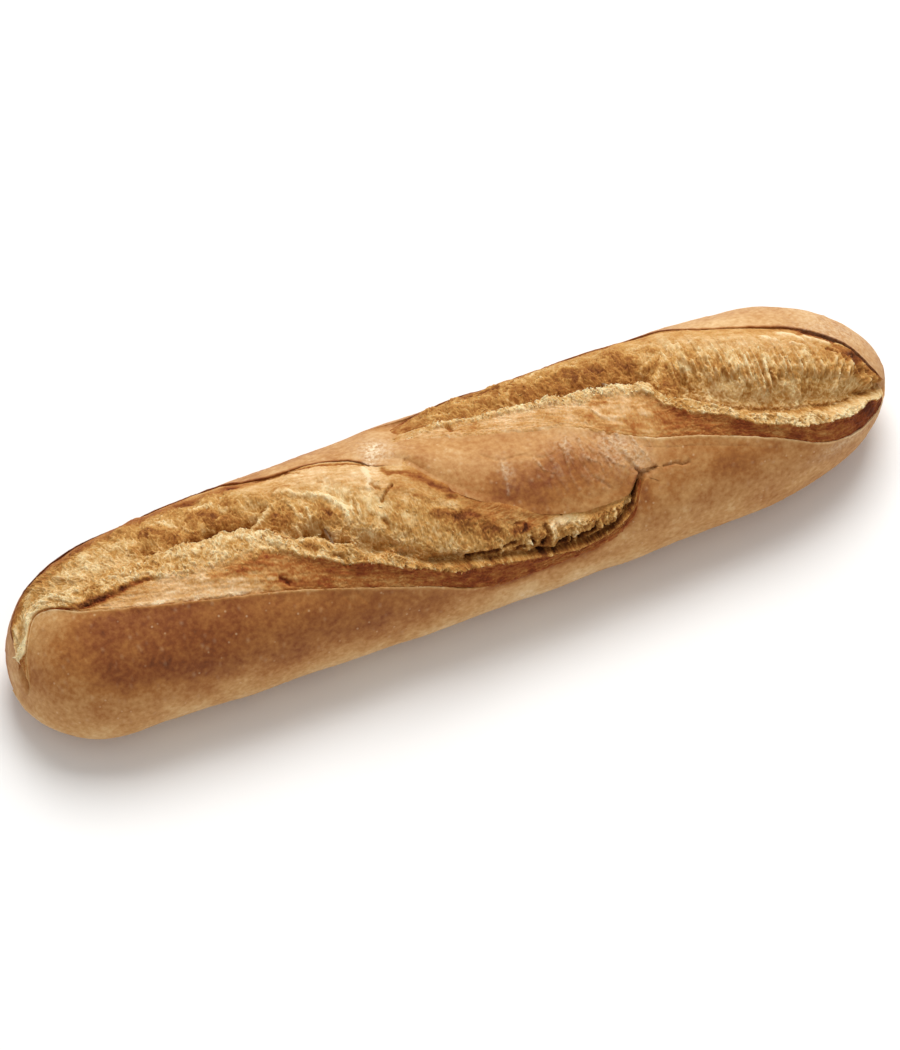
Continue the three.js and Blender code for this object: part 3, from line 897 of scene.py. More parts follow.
@dataclass(frozen=True)
class Placing:
    """Sets what is made on the floor, centred, and shrinks it a little where it would leave the CAD box."""

    middle: Array
    scale: Array

    @staticmethod
    def over(meshes: list[Array]) -> "Placing":
        """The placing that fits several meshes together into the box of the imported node.

        Args:
            meshes: the points of each, in mm.

        Returns:
            The placing.
        """
        everything = np.concatenate(meshes)
        low, high = everything.min(0), everything.max(0)
        box_low, box_high = (np.array(corner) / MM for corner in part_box(NODE))
        middle = (low + high) / 2
        middle[2] = low[2]
        return Placing(middle, np.minimum(1, (box_high - box_low) / (high - low)))

    def __call__(self, points: Array) -> Array:
        """Points in mm, turned into metres in the shared frame."""
        return (points - self.middle) * self.scale * MM


def add_object(name: str, data: bpy.types.ID) -> bpy.types.Object:
    """Makes an object and links it to the scene."""
    made = bpy.data.objects.new(name, data)
    bpy.context.scene.collection.objects.link(made)
    return made


def make_piece(
    name: str, points: Array, faces: Array, smooth_faces: int, values: dict[str, Array], material: bpy.types.Material
) -> bpy.types.Object:
    """Makes a mesh piece and hands it to the body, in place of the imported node.

    Args:
        name: the piece's name.
        points: vertices in metres, in the shared frame.
        faces: triangles.
        smooth_faces: how many of them, from the first, are shaded smooth.
        values: one number for each vertex, kept as attributes that the finish reads.
        material: its finish.

    Returns:
        The piece.
    """
    mesh = bpy.data.meshes.new(name)
    mesh.vertices.add(len(points))
    mesh.vertices.foreach_set("co", points.ravel())
    mesh.loops.add(faces.size)
    mesh.loops.foreach_set("vertex_index", faces.ravel().astype(np.int32))
    mesh.polygons.add(len(faces))
    mesh.polygons.foreach_set("loop_start", np.arange(0, faces.size, 3, dtype=np.int32))
    mesh.polygons.foreach_set("use_smooth", np.arange(len(faces)) < smooth_faces)
    mesh.update(calc_edges=True)
    for key, numbers in values.items():
        mesh.attributes.new(key, "FLOAT", "POINT").data.foreach_set("value", numbers.astype(np.float32))
    mesh.materials.append(material)
    piece = add_object(name, mesh)
    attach(piece, BODY)
    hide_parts(NODE)
    log.info("%s: %d triangles", name, len(faces))
    return piece


def join(meshes: list[Mesh]) -> Mesh:
    """One mesh from several, in their order.

    Args:
        meshes: the meshes.

    Returns:
        All of them as one.
    """
    starts = np.cumsum([0] + [len(mesh[0]) for mesh in meshes[:-1]])
    faces = np.concatenate([mesh[1] + start for mesh, start in zip(meshes, starts)])
    return np.concatenate([mesh[0] for mesh in meshes]), faces, np.concatenate([mesh[2] for mesh in meshes])


def dress(surface: Surface, name: str, placing: Placing, material: bpy.types.Material) -> bpy.types.Object:
    """Makes the piece of a whole surface, with the surface's values at its vertices.

    Args:
        surface: the closed tube.
        name: the piece's name.
        placing: puts it into the shared frame.
        material: its finish.

    Returns:
        The piece.
    """
    points = placing(surface.vertices())
    faces = surface.faces(points)
    caps = 2 * surface.points.shape[1]
    ends = {key: [numbers[0].mean(), numbers[-1].mean()] for key, numbers in surface.values.items()}
    values = {key: np.concatenate([numbers.ravel(), ends[key]]) for key, numbers in surface.values.items()}
    return make_piece(name, points, faces, len(faces) - caps, values, material)


# --- The crust ---


@dataclass(frozen=True)
class LipRow:
    """One row of points along a lip. Degrees count from the lip towards its own crust.

    Where the slash is shut the row lies at shut degrees, so that no row crosses the next one.
    """

    shut: float
    open: float
    height: float  # as a share of the lip's rise, or in mm below 0


@dataclass
class CrustShell:
    """The whole outer crust as one closed shell, sunk under the crumb in both openings."""

    loaf: UncutLoaf
    front: Slash
    back: Slash
    column_count: int = 1400
    tip_share: float = 0.3
    near_rows: int = 60
    strap_rows: int = 130
    far_rows: int = 32
    near_lip_form: tuple[LipRow, ...] = (
        LipRow(6.0, 6.0, 0.04), LipRow(4.2, 4.2, 0.15), LipRow(2.9, 2.9, 0.3), LipRow(1.9, 1.9, 0.5),
        LipRow(1.1, 1.1, 0.72), LipRow(0.5, 0.5, 0.93), LipRow(0.1, 0.1, 1.0), LipRow(-0.15, -0.15, 0.85),
        LipRow(-0.3, -0.22, 0.3), LipRow(-0.45, -0.15, -0.35), LipRow(-0.6, 0.1, -1.0),
    )
    far_lip_form: tuple[LipRow, ...] = (
        LipRow(6.0, 6.0, 0.08), LipRow(4.0, 4.0, 0.3), LipRow(2.6, 2.6, 0.5), LipRow(1.5, 1.5, 0.75),
        LipRow(0.7, 0.7, 0.95), LipRow(0.2, 0.2, 1.0), LipRow(-0.15, -0.15, 0.75), LipRow(-0.3, -0.2, 0.1),
        LipRow(-0.45, 0.1, -0.3), LipRow(-0.6, 0.7, -1.0),
    )
    floor_shares: tuple[float, ...] = (0.06, 0.16, 0.4, 0.65, 0.86, 0.95)
    floor_depths: tuple[float, ...] = (0.5, 1.0, 1.0, 1.0, 1.0, 0.5)
    floor_below_valley: float = 2.8
    deepest: float = 0.42  # how deep the floor may lie, as a share of the loaf's radius
    lip_wave: float = 3.0  # length of the lips' raggedness, in mm
    lip_wander: float = 0.5  # how far it moves them, in degrees
    lip_swing: float = 0.6  # and how much it changes their rise, as a share
    heel: tuple[float, float, float, float] = (-117, 108, 14, 2.4)  # x, degrees, reach, rise
    strap_bulge: Triple = (1.3, -30, 60)  # rise, from x, to x
    bulge_fades: Pair = (30, 25)  # how far it takes to rise and to end, in mm
    lumps: Pair = (0.35, 31)  # rise, wave
    lump_fade: Pair = (95, 135)  # degrees between which the lumps fade out
    marks_fade: Pair = (120, 150)  # the same for the crust's marks, down to a fifth
    plain_bake: float = 0.45
    merge_reach: float = 2.0  # how far from a lip without an edge the tear's browning reaches, in mm
    # The near side's darker belt, partly browning and partly painted shade
    near_side_bake_and_shade: SmoothCurve = SmoothCurve([
        (-134, 0.02), (-126, 0.12), (-114, 0.3), (-100, 0.36), (-82, 0.31), (-50, 0.22), (-28, 0.22), (-14, 0.12),
        (6, 0),
    ])
    near_side_edge: SmoothCurve = SmoothCurve([(-134, 52), (-110, 64), (-90, 74), (-60, 82), (-30, 90), (0, 96)])
    near_edge_bake: float = -0.25
    far_edge_bake: float = 0.3
    patches: tuple[Patch, ...] = (
        Patch(-60, 114, 150, 16, -0.2), Patch(10, 98, 60, 14, -0.09), Patch(75, 66, 40, 20, 0.08),
        Patch(20, -10, 60, 14, 0.06), Patch(82, 58, 12, 8, 0.14), Patch(22, 31, 22, 20, 0.3),
        Patch(5, -20, 30, 40, -0.08), Patch(110, -40, 50, 40, -0.08), Patch(-90, -80, 60, 20, 0.3),
        Patch(50, 57, 2.5, 10, 0.2),
    )
    # Creases; flour on the raised ones is partly a painted highlight
    creases: tuple[Stroke, ...] = strokes_from(
        (0.6, -0.3, 0, 9, 3, 12, 9, 14, 11, 18, 11, 21, 12, 22.5, 16, 26, 18, 29, 18, 30, 15),
        (0.5, 0.35, 0.3, 13.5, 11, 13, 19, 12.6, 26, 12, 31), (0.4, 0.4, 0.3, 22.7, 16, 23.5, 21, 24.3, 25, 26, 28),
        (0.5, 0.5, 0.3, 34, 9, 31.5, 19, 33, 25), (0.5, 0.5, 0.34, 37, 13, 36.7, 23, 37.2, 27, 39.2, 30),
        (0.45, 0.45, 0.3, 43, 20, 44.5, 27), (0.45, 0.45, 0.3, 42.5, 29, 44.2, 35, 46.4, 38),
        (0.5, 0.5, 0.3, 47.9, 14, 48.1, 25, 48.8, 34, 50.7, 43),
        (0.6, -0.3, 0, 45.9, 14, 46.1, 25, 46.8, 32, 48.7, 41),
        (0.45, 0.45, 0.3, 51, 18, 52.4, 29, 53.7, 37, 54.8, 42), (0.5, -0.25, 0.12, 35.4, 31, 36.6, 39),
        (0.5, -0.25, 0.12, 37.7, 40, 40.5, 47), (0.45, -1.4, 0, 49.6, 42, 50.8, 46, 55.2, 45),
        (0.3, -0.7, 0, 57.5, 46, 61.5, 47, 62.8, 49, 65, 49), (1.5, -0.4, 0.6, -17, -36, -20, -24, -22.5, -17),
        (0.4, -0.7, 0, -11.2, -15, -12.6, -10, -16, -10), (0.8, -0.9, 0, -14, -42, -10, -35, -6, -38, -2, -46),
        (0.6, -0.25, 0, -43, 53, -41, 60), (0.6, -0.3, 0, -39, 53, -37, 61),
    )
    crumple: Patch = Patch(41, 22, 17, 16, 0.6)
    fold_size: Pair = (2.1, 6)  # along and round the loaf, in mm
    broken_size: float = 1.6  # of the gaps in raised creases
    waves: Grain = Grain(13, 0.16, 3)
    small_waves: Grain = Grain(3.5, 0.07, 4, 2)
    blisters: Grain = Grain(2.6, 0.16, 5)
    blister_radius: float = 0.3  # as a share of their spacing
    blister_share: float = 0.45  # of the places where one can be
    cloudiness: Grain = Grain(16, 0.07, 6)  # of the browning
    # Pale smears of flour; the one at x 113 by the back slash's near lip is partly a painted highlight
    smears: tuple[Patch, ...] = (
        Patch(-17, -32, 5, 12, 0.8), Patch(14, 17, 2, 7, 0.3), Patch(33, 12, 4, 7, 0.2), Patch(47, 24, 6, 14, 0.38),
        Patch(52, 38, 3, 6, 0.3), Patch(122, -24, 12, 22, 0.45), Patch(104, -62, 30, 16, 0.15),
        Patch(113, 80, 9, 5, 0.4), Patch(128, 20, 6, 30, 0.2),
    )

    def relief(self, x: Array, degrees: Array, strap_share: Array) -> Array:
        """Height of the crust's soft forms.

        Slow lumps fade out under the loaf, the strap bulges as sin(pi * its share), and the heel is fuller by
        rise * exp(-(distance / reach)^2).

        Args:
            x: place along the loaf.
            degrees: place round the loaf.
            strap_share: way across the strap between the slashes, or 0 outside it.

        Returns:
            Heights in mm.
        """
        upper = 1 - smooth_step(np.abs(degrees), *self.lump_fade)
        rise, wave = self.lumps
        lumps = rise * ripple(x, degrees * 0.5, wave, 0.4) * self.loaf.end_share(x) * upper
        bulge, start, end = self.strap_bulge
        rising, ending = self.bulge_fades
        along = smooth_step(x, start, start + rising) * (1 - smooth_step(x, end - ending, end))
        strap = bulge * along * np.sin(math.pi * strap_share)
        heel_x, heel_degrees, reach, heel_rise = self.heel
        away = np.hypot(x - heel_x, (degrees - heel_degrees) * DEGREE * self.loaf.half_width) / reach
        return lumps + strap + heel_rise * np.exp(-away * away)

    def lip(self, x: Array, section: SlashSection, side: int, seed: int) -> Rows:
        """Rows over one lip, thin and slightly ragged.

        Args:
            x: the columns.
            section: the slash's measures at each column.
            side: 1 for the near lip, -1 for the far one.
            seed: picks the raggedness.

        Returns:
            The rows, from crust to opening.
        """
        if side > 0:
            form, at, rise, merge = self.near_lip_form, section.near, section.near_rise, section.near_merge
        else:
            form, at, rise, merge = self.far_lip_form, section.far, section.far_rise, section.far_merge
        opened = section.open_share
        line = np.stack([x / self.lip_wave, np.zeros_like(x)], -1)
        wander = self.lip_wander * layered_noise(line, seed)
        swing = 1 + self.lip_swing * layered_noise(line * 0.8, seed + 5)
        rows = []
        for row in form:
            edge = math.exp(-((row.open / 1.1) ** 2))
            away = row.shut + (row.open - row.shut) * opened
            height = row.height * (rise * swing if row.height > 0 else 1) * opened
            mark = side * edge * opened * (1 - merge)
            rows.append((at + side * away + wander * edge * opened, height, mark, 0 * x))
        return rows

    def opening(self, x: Array, slash: Slash, seed: int) -> Rows:
        """Rows of one opening from its near crust to its far crust: lip, sunken floor, lip.

        Args:
            x: the columns.
            slash: the opening's slash.
            seed: picks the raggedness of its lips.

        Returns:
            The rows.
        """
        section = slash.section(x, self.loaf)
        near, far = self.lip(x, section, 1, seed), self.lip(x, section, -1, seed + 20)
        depth = np.minimum(section.depth + self.floor_below_valley, self.deepest * section.radius)
        opened, span = section.open_share, section.far - section.near
        floor = [
            (section.near + span * share, -depth * part * opened, 0 * x, opened)
            for share, part in zip(self.floor_shares, self.floor_depths)
        ]
        return near + floor + far[::-1]

    def toned(self, bake: Array, x: Array, degrees: Array) -> Array:
        """Brings the crust's browning to the tear's own where the two run into each other.

        The weight is exp(-(distance from the lip / reach)^2) on the crust's side of the lip.

        Args:
            bake: how brown the crust is.
            x: place along the loaf.
            degrees: place round the loaf.

        Returns:
            The new browning.
        """
        for slash in (self.front, self.back):
            section = slash.section(x[:, 0], self.loaf)
            sides = (
                (degrees - section.near[:, None], section.near_merge, TearZone.LOW_BAND),
                (section.far[:, None] - degrees, section.far_merge, TearZone.RIM),
            )
            for away, merge, zone in sides:
                distance = np.maximum(away * MM_PER_DEGREE, 0) / self.merge_reach
                weight = (merge * section.open_share)[:, None] * np.exp(-(distance**2)) * (away > -3)
                bake = bake + (SmoothCurve(slash.baking[zone])(x[:, :1]) - bake) * weight
        return bake

    def rows(self, x: Array) -> tuple[Rows, Array]:
        """All rows from the middle of the underside up the near side, over the top and down the far side.

        Args:
            x: the columns.

        Returns:
            The rows, and for each its way across the strap from 0 to 1, or 0 outside the strap.
        """
        front, back = self.opening(x, self.front, 11), self.opening(x, self.back, 51)
        none, below = 0 * x, np.full_like(x, 180.0)

        def plain(start: Array, end: Array, count: int, bend: float = 1.0) -> Rows:
            """Rows between two angles; a bend above 1 packs them towards the end."""
            shares = 1 - (1 - np.arange(1, count + 1) / (count + 1)) ** bend
            return [(start + (end - start) * share, none, none, none) for share in shares]

        near = [(below, none, none, none)] + plain(below, front[0][0], self.near_rows, 1.25) + front
        strap = plain(front[-1][0], back[0][0], self.strap_rows)
        far = back + plain(back[-1][0], -below, self.far_rows, 0.8)
        across = np.linspace(0, 1, self.strap_rows + 2)[1:-1]
        return near + strap + far, np.concatenate([np.zeros(len(near)), across, np.zeros(len(far))])

    def marked(self, height: Array, x: Array, degrees: Array, shown: Array) -> tuple[Array, Array]:
        """Draws the creases and the crumpled patch into the crust, and dusts it with flour; the pale tops of raised
        creases and folds are partly flour and partly a painted highlight.

        Noise breaks the creases that stand up. The patch's folds are noise drawn out round the loaf.

        Args:
            height: the heights so far, in mm.
            x: place along the loaf.
            degrees: place round the loaf.
            shown: how open to the air each place is, 0 to 1.

        Returns:
            The new heights, and how pale each place is with flour and painted highlight.
        """
        flour = sum(smear.weight(x, degrees) for smear in self.smears)
        across = degrees * MM_PER_DEGREE
        broken = 0.65 + 0.5 * layered_noise(np.stack([x, across], -1) / self.broken_size, 8)
        for crease in self.creases:
            line = crease.weight(x, across) * np.where(crease.rise > 0, broken, 1)
            height = height + shown * crease.rise * line
            flour = flour + crease.tint * line
        crumpled = self.crumple.weight(x, degrees)
        folds = np.stack([x - 0.12 * across, across], -1) / self.fold_size
        folds = folds + 0.25 * layered_noise(folds * 1.3, 12)[..., None]
        folds = smooth_step(layered_noise(folds, 13, 2), -0.45, 0.6)
        height = height + shown * crumpled * (1.2 * folds - 0.4)
        # Painted highlight, partly flour: the tops of the folds are paler
        return height, flour + 0.4 * crumpled * folds**2

    def browning(self, x: Array, degrees: Array, base: Array, edge: Array) -> Array:
        """How brown the crust is: its patches, the near side's belt, which is partly browning and partly painted
        shade, clouds of noise, and its edges.

        Args:
            x: place along the loaf.
            degrees: place round the loaf.
            base: the same places on the uncut surface, in mm.
            edge: 1 on the near lip's edge, -1 on the far lip's, 0 elsewhere.

        Returns:
            The browning, 0 to 1.
        """
        bake = self.plain_bake + sum(patch.weight(x, degrees) for patch in self.patches)
        lower = self.near_side_edge(x[:, :1])
        belt = smooth_step(degrees, 0, 20) * (1 - smooth_step(degrees, lower - 16, lower + 20))
        clouds = self.cloudiness.rise * self.cloudiness.noise(base)
        bake = self.toned(bake + self.near_side_bake_and_shade(x[:, :1]) * belt + clouds, x, degrees)
        bake = bake + self.near_edge_bake * np.clip(edge, 0, 1) + self.far_edge_bake * np.clip(-edge, 0, 1)
        return np.clip(bake, 0, 1)

    def surface(self, part: Pair) -> Surface:
        """One part of the shell.

        Args:
            part: which part of the columns, as shares from the left.

        Returns:
            The part as a closed tube.
        """
        x = self.loaf.columns(self.column_count, -self.loaf.length / 2, self.loaf.length / 2, self.tip_share)
        first, last = (round(share * len(x)) for share in part)
        x = x[max(first - 1, 0) : last + 2]
        rows, strap_share = self.rows(x)
        degrees, height, edge, sunk = (np.stack([row[k] for row in rows], -1) for k in range(4))
        column = np.broadcast_to(x[:, None], degrees.shape)
        base = self.loaf.point(column, degrees)
        shown = (1 - np.clip(sunk, 0, 1)) * (1 - 0.8 * smooth_step(np.abs(degrees), *self.marks_fade))
        wavy = self.waves.rise * self.waves.noise(base) + self.small_waves.rise * self.small_waves.noise(base)
        distance, kind = nearest_grain(base / self.blisters.size, self.blisters.seed)
        blister = np.clip(1 - distance / self.blister_radius, 0, 1) * (kind > 1 - self.blister_share)
        height = height + self.relief(column, degrees, np.broadcast_to(strap_share, degrees.shape))
        height = height + shown * (wavy + self.blisters.rise * blister)
        height, flour = self.marked(height, column, degrees, shown)
        height[[0, -1]] -= LAP
        bake = self.browning(column, degrees, base, edge)
        values = {"bake": bake, "flour": np.clip(flour, 0, 1), "blister": blister}
        points = self.loaf.raised(column, degrees, height)
        tips = self.loaf.tips()
        if part[0] > 0:
            tips[0] = points[0].mean(0)
        if part[1] < 1:
            tips[1] = points[-1].mean(0)
        return Surface(points, tips, values)


# --- The torn crumb ---


@dataclass(frozen=True)
class TearPlaces:
    """Every place on top of a torn strip, as (columns, rows), with the slash's measures upright."""

    x: Array
    degrees: Array
    share: Array
    flat: Array  # x and the way across, on the unrolled surface, in mm
    section: SlashSection
    zone: dict[TearZone, Array]  # how much each place belongs to each zone

    def band(self) -> Array:
        """How much each place belongs to the baked band."""
        return self.zone[TearZone.LOW_BAND] + self.zone[TearZone.HIGH_BAND]

    def wall(self) -> Array:
        """How much each place belongs to the wall below its rim."""
        return self.zone[TearZone.LOW_WALL] + self.zone[TearZone.HIGH_WALL]


@dataclass
class TornCrumb:
    """The torn inside of one slash: a closed strip whose edges tuck under both lips. Lengths are in mm."""

    slash: Slash
    loaf: UncutLoaf
    part: Pair = (0.0, 1.0)  # which part of its columns this strip has
    column_count: int = 1100
    top_rows: int = 172
    under_rows: int = 6
    tuck: float = 1.6  # how far the strip reaches under each lip
    shut_depth: float = 2.4  # how deep it lies where the slash is shut
    below_valley: float = 3.6  # how far its underside lies below the valley
    deepest: float = 0.48  # how deep the underside may lie, as a share of the loaf's radius
    unevenness: float = 0.5  # height of the slow waves of crest and wall
    wave: float = 9.0  # and their length
    seed: int = 100
    lumps: Grain = Grain(5.5, 0.5, 1)
    knobs: Grain = Grain(2.7, 0.42, 2)
    crumbs: Grain = Grain(1.05, 0.24, 3)
    folds: Grain = Grain((1.8, 4.5), 0.12, 4)
    froth: Grain = Grain(0.9, 0.14, 5, 2)
    net: Grain = Grain(2.6, 0.3, 21, 2)
    threads: Grain = Grain((0.9, 1.7), 0.2, 24, 2)
    streaks: Grain = Grain((5.0, 1.1), 0.16, 6)
    wisps: Grain = Grain((3.4, 0.8), 0.14, 27, 2)
    cloudiness: Grain = Grain(8, 0.1, 30)  # of the browning
    tooth_length: float = 1.5  # of the crest's torn edge
    strand_spacing: float = 2.1
    # Rows of the strip given to each interval between knots, as weights
    spread: tuple[float, ...] = (2, 2, 8, 7, 5, 9, 9, 9, 8, 10, 14, 16, 18, 12, 3)

    def knots(self, x: Array, section: SlashSection) -> tuple[Array, Array]:
        """The strip's main lines.

        From the near lip: hidden edge, tuck, baked band, torn crest and its back edge, drop, valley, domed
        wall, groove and hidden edge. The crest and wall are uneven by slow sine waves.

        Args:
            x: the columns.
            section: the slash's measures at each column.

        Returns:
            Each line's shares, and its heights in mm, as (lines, columns).
        """
        crest, back, valley = section.crest, section.crest_back, section.valley
        depth, dome, step, cleft = section.depth, section.dome, section.step, section.cleft
        wall, none = 1 - valley, 0 * x
        along = np.stack([x / 1.7, none], -1)
        ragged = np.clip(section.crest_height**2, 0.1, 1) / np.maximum(section.width, 3)
        crest = crest + 0.45 * ragged * layered_noise(along, self.seed + 50)
        back = np.maximum(back + 0.6 * ragged * layered_noise(along, self.seed + 60), crest + 0.015)
        height = section.crest_height * (1 + self.unevenness * ripple(x, 0, self.wave, self.slash.phase))
        hidden = self.tuck / np.maximum(section.width, 3)

        def rough(share: float) -> Array:
            """Slow waves of the wall, at a share of its height."""
            return self.unevenness * ripple(x, 60 * share, self.wave, self.slash.phase + 1)

        rows = [
            (-hidden, 1.2 * section.near_merge - 1.7),
            (-0.25 * hidden, 0.7 * section.near_merge - 0.5),
            (0.05 * crest, 0.2 * section.near_merge + 0.05),
            (crest * 0.45, height * (0.22 + 0.03 * step) + 0.05),
            (crest * 0.82, height * (0.4 + 0.25 * step)),
            (crest, height * (0.5 + 0.5 * step)),
            (0.5 * (crest + back), height * (0.8 + 0.2 * step) + 0.1),
            (back, height * (1 - 0.3 * step)),
            (back + 0.3 * (valley - back), -0.55 * depth),
            (valley, -depth),
            (valley + (0.1 - 0.05 * cleft) * wall, -0.75 * depth + (1 - cleft) * rough(0.1)),
            (valley + (0.3 - 0.17 * cleft) * wall, (0.15 * cleft - 0.25) * depth + 0.5 * dome + rough(0.3)),
            (valley + 0.58 * wall, dome + rough(0.6)),
            (valley + 0.84 * wall, 0.6 * dome - 0.3 * section.groove + 0.5 * rough(0.8)),
            (1 + none, 0.2 * section.far_merge - section.groove),
            (1 + hidden * (1 + 0.4 * section.far_merge), 1.8 * section.far_merge - 2.4),
        ]
        return np.stack([row[0] for row in rows]), np.stack([row[1] for row in rows])

    def zones(self, share: Array, section: SlashSection, jitter: Array) -> dict[TearZone, Array]:
        """How much each place belongs to each zone; the zones add up to 1 everywhere.

        Args:
            share: way across the slash.
            section: the slash's measures, upright.
            jitter: unevenness of the border between band and crest, -1 to 1.

        Returns:
            An array from 0 to 1 for each zone.
        """
        crest, back, valley, cleft = section.crest, section.crest_back, section.valley, section.cleft
        wall, drop = 1 - valley, valley - back
        blur = section.softness / np.maximum(section.width, 4)
        high_band = smooth_step(share, 0.35 * crest, 0.75 * crest)
        torn = smooth_step(share + blur * jitter, crest - 0.6 * blur, crest + 0.4 * blur)
        low_wall = smooth_step(share, back + (0.1 - 0.15 * cleft) * drop, back + (0.9 - 0.5 * cleft) * drop)
        high_wall = smooth_step(share, valley + 0.25 * wall, valley + 0.6 * wall)
        rim = smooth_step(share, 0.76, 0.92)
        steps = np.minimum.accumulate([1 + 0 * share, high_band, torn, low_wall, high_wall, rim, 0 * share])
        return {zone: steps[k] - steps[k + 1] for k, zone in enumerate(TearZone)}

    def surface(self) -> Surface:
        """The strip as a closed tube: its rough top from near lip to far lip, then its plain underside.

        The underside sinks from both edges by the root of sin(pi * share). Slivers are likeliest where torn
        crumb stands out.

        Returns:
            The tube, with its looseness.
        """
        shut, _, _, end = self.slash.open_span
        x = self.loaf.columns(self.column_count, shut - 0.4, end + 0.4, 0.06)
        x = x[max(round(self.part[0] * len(x)) - 1, 0) : round(self.part[1] * len(x)) + 2]
        section = self.slash.section(x, self.loaf)
        shares, heights = self.knots(x, section)
        steps = np.concatenate([[0], np.cumsum(self.spread)]) / sum(self.spread)
        rows = np.interp(np.linspace(0, 1, self.top_rows), steps, np.arange(len(steps)))
        share, height = through_knots(shares, rows), through_knots(heights, rows)
        x, section = x[:, None], section.upright()
        degrees = section.near + (section.far - section.near) * share
        flat = np.stack([x + 0 * share, share * section.width], -1)
        zone = self.zones(share, section, 0.6 * layered_noise(flat / 2.2, self.seed + 31))
        places = TearPlaces(flat[..., 0], degrees, share, flat, section, zone)
        skin = self.skin(places)
        detail, hollow, tint = self.tear(places, skin)
        opened = section.open_share
        height = (height + detail) * opened - self.shut_depth * (1 - opened)
        toast = sum(zone[kind] * SmoothCurve(self.slash.baking[kind])(x) for kind in TearZone) + tint
        clouds = self.cloudiness.rise * self.cloudiness.noise(flat, self.seed)
        toast = toast + clouds + 0.2 * places.wall() * np.clip(detail, -0.4, 0.8)

        under = np.linspace(1, 0, self.under_rows + 2)[None, 1:-1]
        sink = np.minimum(section.depth + self.below_valley, self.deepest * section.radius)
        under_share = shares[0][:, None] + (shares[-1] - shares[0])[:, None] * under
        under_degrees = section.near + (section.far - section.near) * under_share
        drop = (sink - self.shut_depth) * np.sin(math.pi * under) ** 0.5
        under_height = -(self.shut_depth + drop) * np.ones_like(under_share)
        degrees = np.concatenate([degrees, under_degrees], 1)
        height = np.concatenate([height, under_height], 1)
        height[[0, -1]] -= LAP
        points = self.loaf.raised(x + 0 * degrees, degrees, height)
        plain = np.zeros_like(under_share)
        values = {
            "toast": np.concatenate([np.clip(toast, 0, 1), plain + 0.4], 1),
            # The painted shade of hollows, which the finish multiplies in
            "hollow": np.concatenate([hollow, plain], 1),
            "skin": np.concatenate([skin, plain], 1),
        }
        loose = zone[TearZone.CREST] + 0.12 * places.wall() * (1 - skin)
        loose = loose * opened * (0.2 + np.clip(detail, 0, 1))
        return Surface(points, np.stack([points[0].mean(0), points[-1].mean(0)]), values, loose)

    def skin(self, places: TearPlaces) -> Array:
        """Where the tear has baked to a smooth skin: the whole band, and the top of the wall in places.

        Args:
            places: the strip's places.

        Returns:
            The skin's share at each place, 0 to 1.
        """
        section = places.section
        wall = 1 - section.valley
        top = smooth_step(places.share, section.valley + 0.45 * wall, section.valley + 0.75 * wall)
        ends = 1 - section.open_share**2
        return np.clip(places.band() + top * SmoothCurve(self.slash.skin)(places.x[:, :1]) + ends, 0, 1)

    def tear(self, places: TearPlaces, skin: Array) -> tuple[Array, Array, Array]:
        """The relief of the torn crumb.

        Knobs in two sizes, fibres and froth are noise in mm, warped by slower noise. Strands are crests that run up
        the wall and end in a ragged edge over a smooth dip. The slash's own strokes come on top. Hollows, sunken
        strokes and the dip get a painted shade.

        Args:
            places: the strip's places.
            skin: how far each has baked to a smooth skin.

        Returns:
            Heights in mm, the painted shade of hollows from 0 to 1, and how much browner the strokes make it, a
            painted shade in sunken pockets.
        """
        x, share, flat, section, seed = places.x, places.share, places.flat, places.section, self.seed
        crest, wall, band = places.zone[TearZone.CREST], places.wall(), places.band()
        width, valley = section.width, section.valley
        bend = np.stack([layered_noise(flat / 5, seed + k) for k in (0, 9)], -1)
        small = np.stack([layered_noise(flat / 1.1, seed + k) for k in (12, 13)], -1)
        warped = flat + 1.3 * bend

        lumps = self.lumps.rise * self.lumps.noise(warped, seed) * (wall + 0.3 * crest)
        knobs, shade = self.knobs.clumps(warped + 0.5 * small, seed)
        crumbs, _ = self.crumbs.clumps(flat + 0.3 * small, seed)
        folds, froth = crests(self.folds.noise(warped, seed)), self.froth.noise(flat, seed)
        net = smooth_step(crests(self.net.noise(warped, seed)), 0.45, 1.0)
        threads = smooth_step(crests(self.threads.noise(warped + 0.4 * small, seed)), 0.5, 1.0)
        fine = self.knobs.rise * knobs * (1 + crest) + self.crumbs.rise * crumbs + self.folds.rise * folds
        fine = fine + self.net.rise * net + self.threads.rise * threads + self.froth.rise * froth

        # A crest too thin for knobs keeps only their traces, down to the valley behind it
        thickness = (section.crest_back - section.crest) * width
        thin = (1 - smooth_step(thickness, 0.4, 1.8)) * (1 - smooth_step(share, valley, valley + 0.1))
        rough = (crest + places.zone[TearZone.LOW_WALL] + places.zone[TearZone.HIGH_WALL]) * (1 - 0.85 * skin)
        fine = rough * (fine - 0.15) * (1 - 0.7 * thin)

        streaks = self.streaks.noise(flat, seed)
        wisps = smooth_step(crests(self.wisps.noise(flat + 0.5 * bend, seed)), 0.4, 1.0)
        grain = (self.streaks.rise * (streaks + 0.5 * froth) + self.wisps.rise * wisps) * (band + 0.6 * skin)
        teeth = crests(layered_noise(np.stack([x / self.tooth_length, share * 4], -1), seed + 8, 2))
        crest_line = np.exp(-(((share - section.crest) * width / 0.7) ** 2))
        crest_line = crest_line * np.clip(section.crest_height**2, 0.08, 1)
        teeth = (0.5 + 0.4 * section.step) * teeth * crest_line * (1 - 0.5 * thin)

